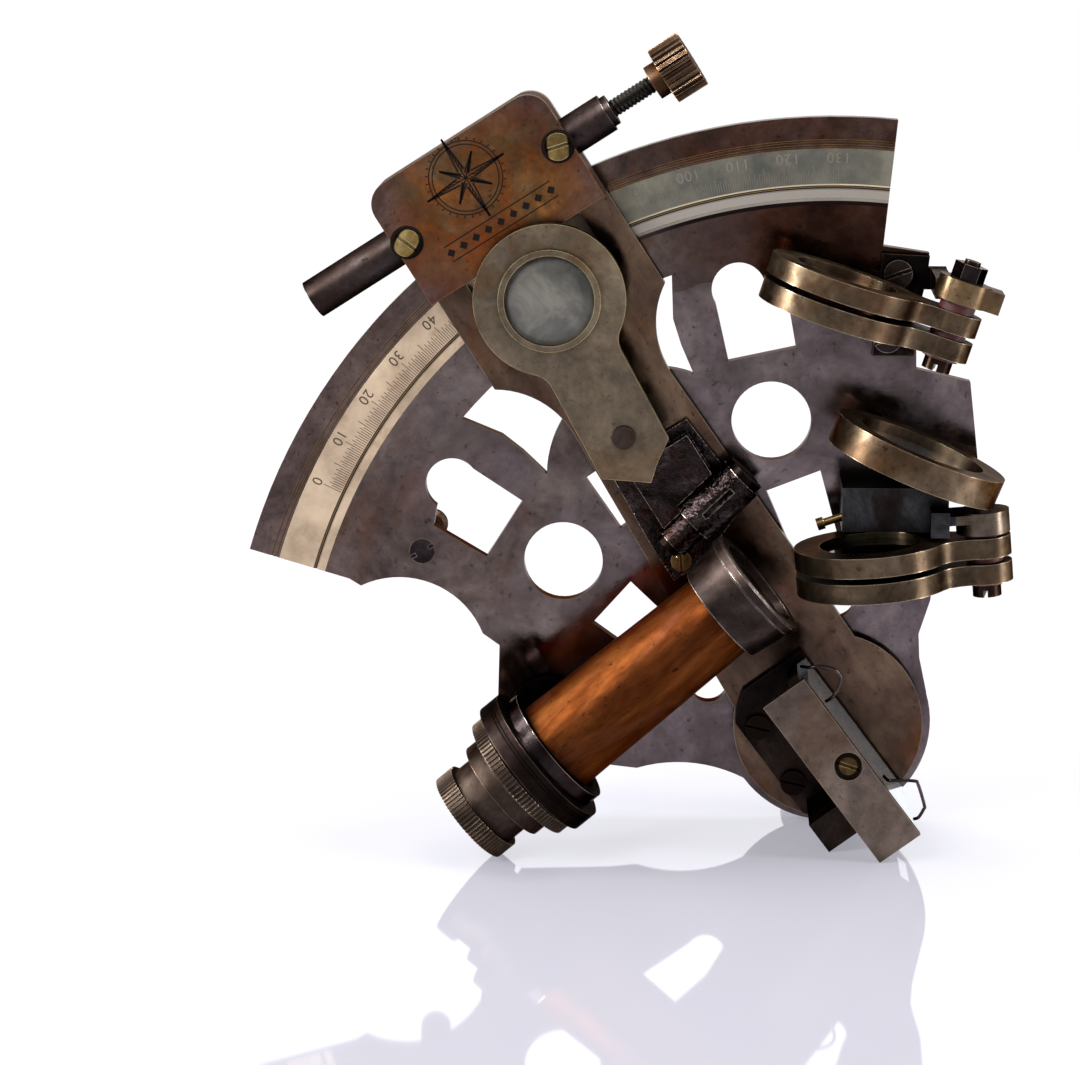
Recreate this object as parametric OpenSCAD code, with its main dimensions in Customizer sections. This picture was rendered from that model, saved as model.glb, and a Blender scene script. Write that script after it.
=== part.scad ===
// Small brass sextant with a 100 mm limb, standing on its eyecup, its mirror
// cap and its apex leg. Every piece is first drawn in the plane of the frame:
// pivot at the origin, x to the right, y up, z towards the observer, with the
// front face of the frame plate at z = 0. place() then stands it up.

/* [Frame] */
// Radius of the outer edge of the limb
limb_r = 100; // [96:1:106]
// Angle of the left end of the limb
limb_left = 163.6; // [160:0.2:166]
// Angle of the right end of the limb
limb_right = 84.4; // [82:0.2:86]
// Angle of the frame's line of symmetry
frame_axis = 124.9; // [124:0.1:126]
// Thickness of the frame plate
plate_t = 2.5; // [2:0.1:3.2]
// Radius of the rounded apex round the pivot
apex_r = 17; // [16:0.2:17.2]
// Radius of the two round lightening holes
round_hole_r = 6.5; // [5:0.1:7]
// Distance of the round holes from the pivot
round_hole_at = 51.4; // [50:0.2:53]

/* [Scale] */
// Distance from the limb's edge in to the silvered strip
scale_inset = 5.1; // [4.5:0.1:6]
// Width of the silvered strip
scale_w = 7.9; // [7:0.1:9]
// Depth of the groove that holds the strip
scale_d = 0.4; // [0.3:0.05:0.8]
// Angle of the scale's zero
scale_zero = 154.8; // [154:0.1:156]

/* [Index arm] */
// Angle at which the arm stands
arm_angle = 122.6; // [120:0.1:126]
// Thickness of the arm
arm_t = 2; // [1.6:0.1:2.4]
// Half of the arm's width where it is narrowest, before the shoulders
arm_half_w = 9.4; // [8:0.1:10.5]
// Half of the width that the arm would have at the pivot
arm_root_half_w = 12; // [10.5:0.1:13]
// Radius of the hollow before each shoulder
shoulder_r = 15; // [8:0.5:16]
// Half of the arm's width at the scale
arm_end_half_w = 16.4; // [15:0.1:18]
// Radius of the arm's disc at the pivot
arm_disc_r = 15.6; // [14:0.1:16]
// Radius of the pivot shaft
shaft_r = 3; // [2.5:0.1:3.5]

/* [Tangent screw] */
// Length of the cover plate along the arm
cover_len = 20.6; // [19:0.1:22]
// Thickness of the cover plate
cover_t = 1.5; // [1:0.1:2]
// Depth of the housing under the cover plate
housing_h = 6.7; // [6.6:0.1:8]
// Wall of the housing
housing_wall = 2.2; // [1.8:0.1:2.6]
// Radius of the spring tube and of the guide tube
tube_r = 3.2; // [3:0.05:3.25]
// Length of the spring tube outside the housing
spring_tube_len = 16.4; // [12:0.1:20]
// Length of the guide tube outside the housing
guide_tube_len = 8; // [6:0.1:12]
// Radius of the tangent screw's rod
rod_r = 1.25; // [1:0.05:1.4]
// Bare length of the rod between the guide tube and the knob
rod_bare = 7.6; // [6:0.1:12]
// Radius of the knurled knob
knob_r = 4.8; // [4:0.1:6]
// Length of the knurled knob
knob_len = 5.4; // [4:0.1:7]
// Number of flutes round the knob
knob_flutes = 26; // [16:1:32]

/* [Magnifier] */
// Radius of the magnifier's head
magnifier_r = 12.2; // [11:0.1:12.6]
// Radius of the lens
lens_r = 7.2; // [6:0.1:8]
// Thickness of the magnifier's plate
magnifier_t = 2.2; // [1.8:0.1:2.6]
// Distance from the index pivot to the magnifier's rivet
magnifier_pivot = 60.2; // [59:0.1:61]
// Distance from the index pivot to the centre of the lens
lens_at = 85.2; // [84:0.1:86]

/* [Index mirror] */
// Length of the mirror's cap
mirror_len = 31.7; // [28:0.1:31.8]
// Width of the mirror's cap
mirror_cap_w = 8; // [7:0.1:8.4]
// Height of the cap's face above the frame plate
mirror_h = 24; // [20:0.1:26]
// Angle between the cap's long edge and the arm
mirror_turn = 4.2; // [3:0.1:5]
// Thickness of the mirror glass
glass_t = 1.8; // [1.4:0.1:2]

/* [Shades and horizon mirror] */
// Radius of a shade's ring
shade_r = 12.3; // [11.6:0.1:12.5]
// Radius of the glass that shows in a shade
shade_glass_r = 7.4; // [6:0.1:8]
// Distance from a shade's pivot to the centre of its ring
shade_arm = 18; // [17.6:0.1:18.4]
// Thickness of a shade
shade_t = 3.2; // [2.8:0.1:3.3]
// Gap between the two shades of a group
shade_gap = 1; // [0.7:0.05:1.2]
// Height of the shades' pivots above the frame plate
shade_z = 15; // [14.8:0.1:16]
// Radius of the shades' pivot screws
shade_screw_r = 1.3; // [1.1:0.05:1.5]
// Radius of the horizon mirror's cell
cell_r = 14.2; // [13.6:0.1:14.4]
// Thickness of the horizon mirror's cell
cell_t = 4.7; // [4.2:0.1:4.8]

/* [Telescope] */
// Direction of the telescope's axis
scope_angle = 40.3; // [39.8:0.1:40.8]
// Height of the telescope's axis above the frame plate
scope_z = 22; // [21:0.1:23]
// Radius of the tube at the collar
scope_r = 7.85; // [7.6:0.05:8]
// Radius of the tube at the objective
scope_end_r = 7.1; // [6.9:0.05:7.4]
// Length of the tube in front of the collar
scope_len = 34.3; // [32:0.1:35]
// Radius of the collar
collar_r = 12.3; // [11.6:0.1:12.6]
// Radius of the knurled locking ring
lock_r = 11.1; // [10.4:0.1:11.6]
// Radius of the knurled eyecup
eyecup_r = 8; // [7.6:0.1:8.2]

/* [Legs] */
// Length of the three legs behind the frame plate
leg_len = 21.5; // [18:0.1:26]
// Radius of a leg's foot
foot_r = 2.6; // [2.4:0.1:4.6]
// Radius of the foot of the leg at the apex
apex_foot_r = 5; // [4.6:0.1:5.2]

/* [Fits] */
// Radial clearance of a shaft that turns
turn_gap = 0.06; // [0.04:0.01:0.1]
// Gap between faces that pass each other
face_gap = 0.3; // [0.25:0.01:0.4]

/* [Hidden] */

// Number of sides of large and of small round forms
fine = 120;
small = 48;

// Colours
bronze = [0.32, 0.26, 0.24];
dark = [0.17, 0.15, 0.14];
copper = [0.55, 0.28, 0.12];
olive = [0.42, 0.36, 0.28];
brass = [0.72, 0.58, 0.25];
silver = [0.74, 0.70, 0.62];
glass = [0.55, 0.62, 0.6];
red_glass = [0.6, 0.2, 0.15];
green_glass = [0.25, 0.45, 0.3];

// Heights above the frame plate
arm_top = face_gap + arm_t;
housing_top = arm_top + housing_h;
cover_top = housing_top + cover_t;
head_h = 0.8;
magnifier_z = cover_top + head_h + 2 * face_gap;
rod_z = arm_top + housing_h / 2;
nut_half = 2.6;

// Radii along the limb
scale_out = limb_r - scale_inset;
scale_in = scale_out - scale_w;
rim_in = limb_r - 21.2;
cover_at = limb_r - 5.8;
cover_mid = cover_at + cover_len / 2;
rod_at = cover_mid + 0.4;

// The floor, below the pivot, where the lower corner of the mirror's cap rests
mirror_facing = arm_angle + mirror_turn - 90;
cap_mid = 2.65;
floor_y = -(cap_mid + mirror_len / 2) * cos(mirror_facing) - mirror_cap_w / 2 * sin(mirror_facing);

// The telescope, measured along its axis from where it crosses the bracket
collar_front = -1.9;
collar_t = 3.6;
collar_back = collar_front - collar_t;
lock_t = 2.1;
lock_at = collar_back - 2 * face_gap - lock_t;
neck_r = 10;
eye_tube_r = 7.1;
plain_r = 8.8;
plain_at = -11.4;
cup_len = 3.2;
cup_end = -18.5;
cell_len = 8;
rim_r = 9.6;
cell_back_r = 8.4;
// The eyecup's rim rests on the floor
scope_x = -44.2;
scope_y = floor_y + eyecup_r * cos(scope_angle) - cup_end * sin(scope_angle);

// Pivots of the two groups of shades
upper_pivot = [19.3, 73];
// How much higher the lug of the upper group sits, with a thicker washer below it
upper_rise = 1;
upper_dir = 162;
lower_pivot = [23.6, 37.2];
lower_dir = 185;
lug_t = 3.6;
lug_r = 4.3;
washer_t = 0.5;
washer_r = 2.9;

// Horizon mirror
cell_at = [12.9, 47.1];
cell_dir = 158;
cell_z = cell_r + 1;
mirror_r = 10.5;

// Stands the drawing up and puts its base at the origin
x_low = limb_r * cos(limb_left);
shades_low = lug_t / 2 + washer_t + 2 * shade_t + shade_gap;
x_high = lower_pivot[0] + shades_low * sin(lower_dir - 180) + lug_r * cos(lower_dir - 180);
z_front = scope_z + collar_r;
z_back = plate_t + leg_len;
module place()
  translate([-(x_low + x_high) / 2, (z_front - z_back) / 2, -floor_y])
    rotate([90, 0, 0]) children();

function polar(r, a) = [r * cos(a), r * sin(a)];

// A ring between two radii, standing on z = 0
module ring(r_out, r_in, h) difference() {
  cylinder(r = r_out, h = h, $fn = fine);
  translate([0, 0, -1]) cylinder(r = r_in, h = h + 2, $fn = fine);
}

// Frame of the arm: x outwards along the arm, y to the left of it
module on_arm() rotate([0, 0, arm_angle]) children();
// Frame of the frame plate's own line of symmetry
module on_frame() rotate([0, 0, frame_axis]) children();
// Frame of the telescope: z along its axis towards the objective
module on_scope()
  translate([scope_x, scope_y, scope_z]) rotate([0, 0, scope_angle]) rotate([0, 90, 0]) children();
// Frame of a hinged ring: x to the ring, y towards the observer, z up its pivot
module on_pivot(at, dir, z)
  translate([at[0], at[1], z]) rotate([0, 0, dir]) rotate([90, 0, 0]) children();
// Frame of the tangent screw: z along the rod towards the knob
module on_rod() on_arm() translate([rod_at, 0, rod_z]) rotate([90, 0, 0]) children();
// Frame of the index mirror: x along the cap, y towards what it faces
module on_mirror() rotate([0, 0, mirror_facing - 90]) children();

// A slotted screw head, standing on z = 0
module slotted_head(r, h, turn = 0) difference() {
  cylinder(r = r, h = h, $fn = small);
  rotate([0, 0, turn]) translate([-r - 1, -r * 0.13, h * 0.45]) cube([2 * r + 2, r * 0.26, h]);
}

// A fluted disc, standing on z = 0
module fluted(r, h, n, depth) linear_extrude(h) polygon([for (i = [0:4 * n - 1])
  polar(i % 4 < 2 ? r : r - depth, 90 * i / n)]);

// Frame plate

left_bay = [-71, 9];
left_bay_r = 14.7;
bottom_bay = [-24.5, -31];
bottom_bay_r = 23.6;
bush_r = 5.5;
stud_r = 1.3;
leg_spread = 33.1;
leg_axis = frame_axis - 0.7;
leg_at = polar(72.9, leg_axis + leg_spread);
leg_right_at = polar(72.9, leg_axis - leg_spread);
leg_apex_at = [-2, floor_y + apex_foot_r];

module frame_outline() {
  difference() {
    intersection() {
      circle(limb_r, $fn = 240);
      polygon(concat(
        [polar(limb_r * 1.4, frame_axis), polar(limb_r * 1.15, limb_left), polar(limb_r - 17.2, limb_left)],
        [[-74.9, 20.6], [-57.3, 14.3], [-54.5, 12.3], [-54.9, -2], [-51, -7.5], [-36, -8], [-27, -9]],
        [[-14, -16], [0, -5], [16.3, 5], [15, 11], [14.8, 15], [16.6, 20.7], [17.4, 29], [17.8, 38.5]],
        [[24.2, 39.5], [23.7, 45.1], [22.3, 57.1], [13.5, 59.2], [13.4, 63.3], [13.6, 68.7]],
        [[14.5, 72.3], [15.2, 78.1], polar(limb_r - 20.4, limb_right), polar(limb_r * 1.15, limb_right)]));
    }
    translate(left_bay) circle(left_bay_r, $fn = fine);
    translate(bottom_bay) circle(bottom_bay_r, $fn = fine);
  }
  circle(apex_r, $fn = fine);
}

// The cut-outs of one side, in the frame's own direction
module side_windows() {
  translate(polar(round_hole_at, 23.75)) circle(round_hole_r, $fn = fine);
  polygon([[37.9, 13.5], [35.7, 22.7], [15.3, 15.5], [17.2, 9.3]]);
  translate([16.5, 12.7]) circle(3.25, $fn = small);
  polygon([[54.8, 30.8], [59.1, 20.5], [70.6, 25.1], [66.6, 32.5], [64, 35]]);
  translate([67.9, 28.5]) circle(4.4, $fn = small);
}

// Window under the arm, of which a sliver shows beside it
middle_window = [46.2, 56.4, 9.8];
module window_under_arm() translate([middle_window[0], -middle_window[2]])
  square([middle_window[1] - middle_window[0], 2 * middle_window[2]]);

// The crescent under the arm
module crescent() difference() {
  intersection() {
    circle(rim_in, $fn = 180);
    polygon([[60.4, -14.6], [65.8, -15.7], [70, -17], [76.2, -21], [92, -25],
      [92, 25], [76.2, 21], [70, 17], [65.8, 15.7], [60.4, 14.6]]);
  }
  translate([50.4, 0]) circle(17.8, $fn = fine);
}

module scribed(r) translate([0, 0, -0.25]) ring(r, r - 0.3, 1);

module frame_plate() color(bronze) difference() {
  translate([0, 0, -plate_t]) linear_extrude(plate_t) difference() {
    frame_outline();
    on_frame() {
      crescent();
      window_under_arm();
      side_windows();
      mirror([0, 1]) side_windows();
    }
  }
  translate([0, 0, -scale_d]) ring(scale_out, scale_in, 1 + scale_d);
  scribed(scale_out + 0.6);
  scribed(scale_out + 1.4);
  translate([0, 0, -plate_t - 1]) cylinder(r = bush_r, h = plate_t + 2, $fn = fine);
  for (p = concat([leg_at, leg_right_at, leg_apex_at], scope_screws_at, horizon_screws_at, shade_screws_at))
    translate([p[0], p[1], -plate_t - 1]) cylinder(r = stud_r, h = plate_t + 2, $fn = small);
  for (p = [leg_at, leg_right_at]) translate([p[0], p[1], -head_h]) cylinder(r = flush_r, h = 2, $fn = small);
}

// The sector that the limb covers
module limb_sector(h) linear_extrude(h)
  polygon([[0, 0], polar(2 * limb_r, limb_right), polar(2.2 * limb_r, frame_axis), polar(2 * limb_r, limb_left)]);

module scale_strip() color(silver) intersection() {
  translate([0, 0, -scale_d]) difference() {
    ring(scale_out, scale_in, scale_d);
    translate([0, 0, scale_d - 0.2]) ring(scale_in + 1.75, scale_in + 1.3, 1);
  }
  translate([0, 0, -plate_t]) limb_sector(plate_t);
}

// Index pivot

bush_flange_t = 2;
bush_flange_r = 7;
nut_t = 3;

module pivot_bush() color(brass) difference() {
  union() {
    translate([0, 0, -plate_t - bush_flange_t]) cylinder(r = bush_flange_r, h = bush_flange_t, $fn = fine);
    translate([0, 0, -plate_t - bush_flange_t]) cylinder(r = bush_r, h = plate_t + bush_flange_t, $fn = fine);
  }
  translate([0, 0, -20]) cylinder(r = shaft_r + turn_gap, h = 40, $fn = fine);
}

shaft_back = -plate_t - bush_flange_t - face_gap - nut_t - 1;
module pivot_shaft() color(brass)
  translate([0, 0, shaft_back]) cylinder(r = shaft_r, h = arm_top - shaft_back, $fn = fine);

module pivot_nut() color(dark)
  translate([0, 0, -plate_t - bush_flange_t - face_gap - nut_t]) difference() {
    cylinder(r = 5.2, h = nut_t, $fn = 6);
    translate([0, 0, -1]) cylinder(r = shaft_r, h = nut_t + 2, $fn = fine);
  }

// Legs

module leg(at, foot) translate([at[0], at[1], -plate_t]) rotate([180, 0, 0]) difference() {
  rotate_extrude($fn = small) polygon([[0, 0], [3.4, 0], [3.4, 1.2], [2.4, 2.4], [1.9, leg_len * 0.5],
    [2.3, leg_len - 5], [foot - 0.6, leg_len - 2.4], [foot, leg_len - 1.8], [foot, 0.001 + leg_len - 0.4],
    [foot - 0.4, leg_len], [0, leg_len]]);
  translate([0, 0, -1]) cylinder(r = stud_r, h = 6, $fn = small);
}
module leg_left() color(bronze) leg(leg_at, foot_r);
module leg_right() color(bronze) leg(leg_right_at, foot_r);
module leg_apex() color(bronze) leg(leg_apex_at, apex_foot_r);

// Their heads lie flush, because the arm passes over them
flush_r = 2.2;
module leg_screws() color(dark) {
  for (p = [leg_at, leg_right_at]) translate([p[0], p[1], 0]) {
    translate([0, 0, -head_h]) slotted_head(flush_r - turn_gap, head_h, 30);
    translate([0, 0, -plate_t - 4]) cylinder(r = stud_r - turn_gap, h = plate_t + 4, $fn = small);
  }
  translate([leg_apex_at[0], leg_apex_at[1], -plate_t - 4])
    cylinder(r = stud_r - turn_gap, h = plate_t + 4, $fn = small);
}

// Telescope

scope_base = [-46.2, 0.6];
scope_base_r = 6.8;
scope_screws_at = [scope_base + polar(4.4, 175), scope_base + polar(4.4, 265)];
bracket_t = 2.5;

module scope_bracket() color(dark) difference() {
  union() {
    translate([scope_base[0], scope_base[1], 0]) cylinder(r = scope_base_r, h = 1.6, $fn = small);
    intersection() {
      on_scope() translate([-10, -5, collar_front]) cube([40, 10, bracket_t]);
      translate([-90, -50, 1.2]) cube([90, 90, scope_z - 8]);
    }
    on_scope() translate([0, 0, collar_front]) cylinder(r = collar_r - 1.9, h = bracket_t, $fn = fine);
  }
  on_scope() translate([0, 0, collar_front - 1]) cylinder(r = scope_r + 0.7, h = bracket_t + 2, $fn = fine);
  for (p = scope_screws_at) translate([p[0], p[1], -1]) cylinder(r = stud_r, h = 6, $fn = small);
}

module scope_bracket_screws() color(brass) for (p = scope_screws_at) translate([p[0], p[1], 0]) {
  translate([0, 0, 1.6]) slotted_head(1.9, head_h, 60);
  translate([0, 0, -plate_t]) cylinder(r = stud_r - turn_gap, h = plate_t + 1.6, $fn = small);
}

// The collar is a flat ring with a sleeve that the locking ring turns on
sleeve_r = 8.9;
module scope_collar() color(bronze) on_scope() difference() {
  union() {
    translate([0, 0, collar_back]) cylinder(r = collar_r, h = collar_t, $fn = fine);
    translate([0, 0, collar_back - face_gap]) cylinder(r = neck_r, h = 1, $fn = fine);
    translate([0, 0, lock_at - face_gap]) cylinder(r = sleeve_r, h = 4, $fn = fine);
  }
  translate([0, 0, -30]) cylinder(r = eye_tube_r + 0.6, h = 40, $fn = fine);
}

module scope_tube() color(copper) on_scope() rotate_extrude($fn = fine)
  polygon([[eye_tube_r + turn_gap, lock_at - face_gap], [eye_tube_r + 0.6, lock_at - face_gap],
    [eye_tube_r + 0.6, collar_front], [scope_r, collar_front], [scope_end_r, scope_len], [scope_end_r - 1, scope_len],
    [scope_end_r - 1, 2], [eye_tube_r + turn_gap, 0]]);

module objective_cell() color(dark) on_scope() translate([0, 0, scope_len]) rotate_extrude($fn = fine)
  polygon([[scope_end_r - 1, 0], [cell_back_r, 0], [cell_back_r + 0.8, cell_len - 1.8], [rim_r, cell_len - 1.6],
    [rim_r, cell_len - 0.3], [rim_r - 0.3, cell_len], [7.6, cell_len], [6.9, cell_len - 1.2],
    [6.9, 3], [scope_end_r - 1, 3]]);

module objective_lens() color(glass) on_scope() translate([0, 0, scope_len + 3]) rotate_extrude($fn = fine)
  polygon([[0, 0], [6.9, 0], [6.9, 1.6], [4.6, 2.2], [2.3, 2.6], [0, 2.7]]);

module lock_ring() color(bronze) on_scope() translate([0, 0, lock_at]) difference() {
  fluted(lock_r, lock_t, 90, 0.22);
  translate([0, 0, -1]) cylinder(r = sleeve_r + turn_gap, h = lock_t + 2, $fn = fine);
}

module eyepiece_tube() color(bronze) on_scope() difference() {
  union() {
    translate([0, 0, cup_end + cup_len]) cylinder(r = eye_tube_r, h = -cup_end - cup_len - 1, $fn = fine);
    translate([0, 0, plain_at]) cylinder(r = plain_r, h = lock_at - 2 * face_gap - plain_at, $fn = fine);
  }
  translate([0, 0, -30]) cylinder(r = eye_tube_r - 1, h = 40, $fn = fine);
}

module eyecup() color(bronze) on_scope() translate([0, 0, cup_end]) difference() {
  fluted(eyecup_r, cup_len, 72, 0.2);
  translate([0, 0, -1]) cylinder(r1 = 5.4, r2 = 2.6, h = 3, $fn = small);
  translate([0, 0, 1.9]) cylinder(r = 4.6, h = cup_len, $fn = small);
}

module eye_lens() color(glass) on_scope() translate([0, 0, cup_end + 1.9])
  cylinder(r = 4.6, h = cup_len - 1.9, $fn = small);

// Shades

// Outline of a shade seen along its pivot: ring, neck with a fillet each side, eye, tail behind the eye
module paddle(head_r, reach, eye_r, neck, fillet_r, tail = 0) {
  off = neck + fillet_r;
  back = sqrt((head_r + fillet_r) * (head_r + fillet_r) - off * off);
  touch = fillet_r / (head_r + fillet_r);
  half = off * (1 - touch);
  translate([reach, 0]) circle(head_r, $fn = fine);
  circle(eye_r, $fn = small);
  difference() {
    translate([-tail, -half]) square([reach + tail, 2 * half]);
    for (side = [-1, 1]) translate([reach - back, side * off]) circle(fillet_r, $fn = small);
    for (side = [-1, 1]) translate([-tail - 1, side > 0 ? neck : -neck - fillet_r])
      square([reach - back + tail + 1, fillet_r]);
  }
}

shade_rim = 0.8;
module shade_ring(low) translate([0, 0, low]) difference() {
  linear_extrude(shade_t) paddle(shade_r, shade_arm, lug_r, 3.9, 5);
  translate([0, 0, -1]) cylinder(r = shade_screw_r + turn_gap, h = shade_t + 2, $fn = small);
  translate([shade_arm, 0, -1]) cylinder(r = shade_glass_r, h = shade_t + 2, $fn = fine);
  translate([shade_arm, 0, shade_rim]) cylinder(r = shade_glass_r + 0.8, h = shade_t, $fn = fine);
}
module shade_glass(low) translate([shade_arm, 0, low + shade_rim])
  cylinder(r = shade_glass_r + 0.8, h = 1.4, $fn = fine);

// Heights of the pieces along a pivot, below the middle of the lug
upper_low = -lug_t / 2 - washer_t - shade_t;
lower_low = -shades_low;
screw_low = lower_low - washer_t;

module on_upper() on_pivot(upper_pivot, upper_dir, shade_z) children();
module on_lower() on_pivot(lower_pivot, lower_dir, shade_z) children();

module horizon_shade_upper() color(olive) on_upper() shade_ring(upper_low);
module horizon_shade_upper_glass() color(red_glass) on_upper() shade_glass(upper_low);
module horizon_shade_lower() color(olive) on_upper() shade_ring(lower_low);
module horizon_shade_lower_glass() color(red_glass) on_upper() shade_glass(lower_low);
module index_shade_upper() color(olive) on_lower() shade_ring(upper_low);
module index_shade_upper_glass() color(green_glass) on_lower() shade_glass(upper_low);
module index_shade_lower() color(olive) on_lower() shade_ring(lower_low);
module index_shade_lower_glass() color(green_glass) on_lower() shade_glass(lower_low);

// One washer above, one between and one below the two shades
module washers(rise) for (p = [[upper_low + shade_t, washer_t + rise], [lower_low + shade_t, shade_gap],
  [screw_low, washer_t]]) translate([0, 0, p[0]]) ring(washer_r, shade_screw_r, p[1]);
module horizon_shade_washers() color(red_glass) on_upper() washers(upper_rise);
module index_shade_washers() color(copper) on_lower() washers(0);

module pivot_screw(top) {
  translate([0, 0, screw_low]) cylinder(r = shade_screw_r, h = top - screw_low, $fn = small);
  translate([0, 0, screw_low]) rotate([180, 0, 0]) slotted_head(2.3, 2, 100);
}
shade_nut_t = 2.6;
module horizon_shade_screw() color(brass) on_upper() pivot_screw(lug_t / 2 + upper_rise + shade_nut_t + 0.6);
module index_shade_screw() color(brass) on_lower() pivot_screw(lug_t / 2);
module horizon_shade_nut() color(dark) on_upper() translate([0, 0, lug_t / 2 + upper_rise]) difference() {
  cylinder(r = 2.7, h = shade_nut_t, $fn = 6);
  translate([0, 0, -1]) cylinder(r = shade_screw_r, h = shade_nut_t + 2, $fn = small);
}

// A lug's eye on its pivot, and the bore through what joins it
module lug_eye() translate([0, 0, -lug_t / 2]) cylinder(r = lug_r, h = lug_t, $fn = small);
module lug_bore() translate([0, 0, -lug_t]) cylinder(r = shade_screw_r, h = 2 * lug_t, $fn = small);

// Bracket of the horizon shades: foot, post and lug in one piece
shade_screws_at = [[10.1, 75], [8.6, 64.5]];
bracket_foot_t = 1.6;
post_x = [15.4, 17.9];
post_y = [72.4, 76];
// room that the post leaves round the upper washer
relief = 0.1;
module horizon_shade_bracket() color(dark) difference() {
  union() {
    linear_extrude(bracket_foot_t) polygon([[6.2, 61.5], [13, 61.5], [13.9, 70], [14.3, post_y[0]],
      [post_x[1], post_y[0]], [post_x[1], post_y[1]], [15, post_y[1]], [15.2, 77.8], [7.6, 78.2]]);
    on_upper() translate([0, 0, upper_rise]) lug_eye();
    // tail of the lug and post down to the foot
    on_upper() translate([-6.2, -3, upper_rise - lug_t / 2 + 0.1]) cube([5, 6, lug_t - 0.2]);
    difference() {
      translate([post_x[0], post_y[0] + 0.1, 0.2])
        cube([post_x[1] - post_x[0], post_y[1] - post_y[0] - 0.2, shade_z - 1.2]);
      on_upper() translate([0, 0, upper_low])
        cylinder(r = washer_r + relief, h = upper_rise - lug_t / 2 + 0.05 - upper_low, $fn = small);
    }
  }
  on_upper() lug_bore();
  for (p = shade_screws_at) translate([p[0], p[1], -1]) cylinder(r = stud_r, h = 6, $fn = small);
}
module horizon_shade_bracket_screws() color(dark) for (p = shade_screws_at) translate([p[0], p[1], 0]) {
  translate([0, 0, bracket_foot_t]) slotted_head(2.3, 1.4, 20);
  translate([0, 0, -plate_t]) cylinder(r = stud_r - turn_gap, h = plate_t + bracket_foot_t, $fn = small);
}

// Horizon mirror: round cell on a foot, glass let in from above
seat_t = 1.2;
module on_cell() on_pivot(cell_at, cell_dir, cell_z) children();
module horizon_cell() color(olive) difference() {
  union() {
    on_cell() translate([0, 0, -cell_t / 2]) cylinder(r = cell_r, h = cell_t, $fn = fine);
    intersection() {
      on_cell() translate([-6, -cell_z, -cell_t / 2]) cube([12, cell_z - mirror_r - 1, cell_t]);
      translate([-50, 0, 0]) cube([100, 100, 10]);
    }
  }
  on_cell() translate([0, 0, -cell_t]) cylinder(r = mirror_r - 1, h = 2 * cell_t, $fn = fine);
  on_cell() translate([0, 0, -cell_t / 2 + seat_t]) cylinder(r = mirror_r, h = cell_t, $fn = fine);
}
module horizon_mirror() color(silver) on_cell()
  translate([0, 0, -cell_t / 2 + seat_t]) cylinder(r = mirror_r, h = glass_t, $fn = fine);

// Bracket below the horizon mirror: foot, post and the lug of the index shades
horizon_screws_at = [[4.6, 38.2], [13.4, 38.2]];
block_h = 14;
block_low = 34.9;
module horizon_bracket() color(dark) difference() {
  union() {
    linear_extrude(block_h) polygon([[1.3, block_low], [18.3, block_low], [18.3, 41.6], [16, 42], [1.3, 42]]);
    translate([15.2, block_low + 0.2, 4]) cube([2.9, 4, shade_z + lug_r - 3.8]);
    on_lower() {
      lug_eye();
      translate([0, -lug_r + 0.3, 0.2]) cube([7, 2 * lug_r - 0.6, lug_t / 2 - 0.35]);
    }
  }
  on_lower() lug_bore();
  // screws come from behind, the pin goes in at the left end
  for (p = horizon_screws_at) translate([p[0], p[1], -1]) cylinder(r = stud_r, h = 7, $fn = small);
  on_pin() cylinder(r = pin_r, h = 40, $fn = small);
}
module horizon_bracket_screws() color(dark) for (p = horizon_screws_at) translate([p[0], p[1], -plate_t]) {
  rotate([180, 0, 0]) slotted_head(2.4, 1.2, 70);
  cylinder(r = stud_r - turn_gap, h = plate_t + 5, $fn = small);
}
// Adjusting pin that stands out of the block below the mirror
pin_r = 0.7;
pin_bare = 5;
module on_pin() translate([-2.6, 35.4, 11]) rotate([0, 0, 19]) rotate([0, 90, 0]) children();
module mirror_adjuster() color(brass) on_pin() {
  cylinder(r = pin_r - turn_gap, h = pin_bare + 6, $fn = small);
  translate([0, 0, 0]) cylinder(r = 1, h = 1.2, $fn = small);
}

// Index arm

// Where the hollow meets the straight edge of the wide end, and where the arm is narrowest
shoulder_at = limb_r - 23.5;
shoulder_rise = arm_end_half_w - arm_half_w;
waist_at = shoulder_at - sqrt(shoulder_r * shoulder_r - (shoulder_r - shoulder_rise) * (shoulder_r - shoulder_rise));
corner_r = 3.9;
module arm_outline() {
  circle(arm_disc_r, $fn = fine);
  polygon([[0, -arm_root_half_w], [waist_at, -arm_half_w], [waist_at, arm_half_w], [0, arm_root_half_w]]);
  difference() {
    translate([waist_at - 1, -arm_end_half_w]) square([cover_at + cover_len - waist_at + 1, 2 * arm_end_half_w]);
    for (side = [-1, 1]) {
      translate([waist_at, side * (arm_half_w + shoulder_r)]) circle(shoulder_r, $fn = fine);
      translate([waist_at - 2, side > 0 ? arm_half_w : -arm_end_half_w - 1]) square([2, shoulder_rise + 1]);
    }
    corner_cuts(0);
  }
}
// What is cut from the two outer corners to round them
module corner_cuts(inset) for (side = [-1, 1])
  translate([cover_at + cover_len - corner_r, side * (arm_end_half_w - corner_r)]) difference() {
    translate([0, side > 0 ? 0 : -corner_r - 1]) square(corner_r + 1);
    circle(corner_r - inset, $fn = small);
  }
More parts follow.
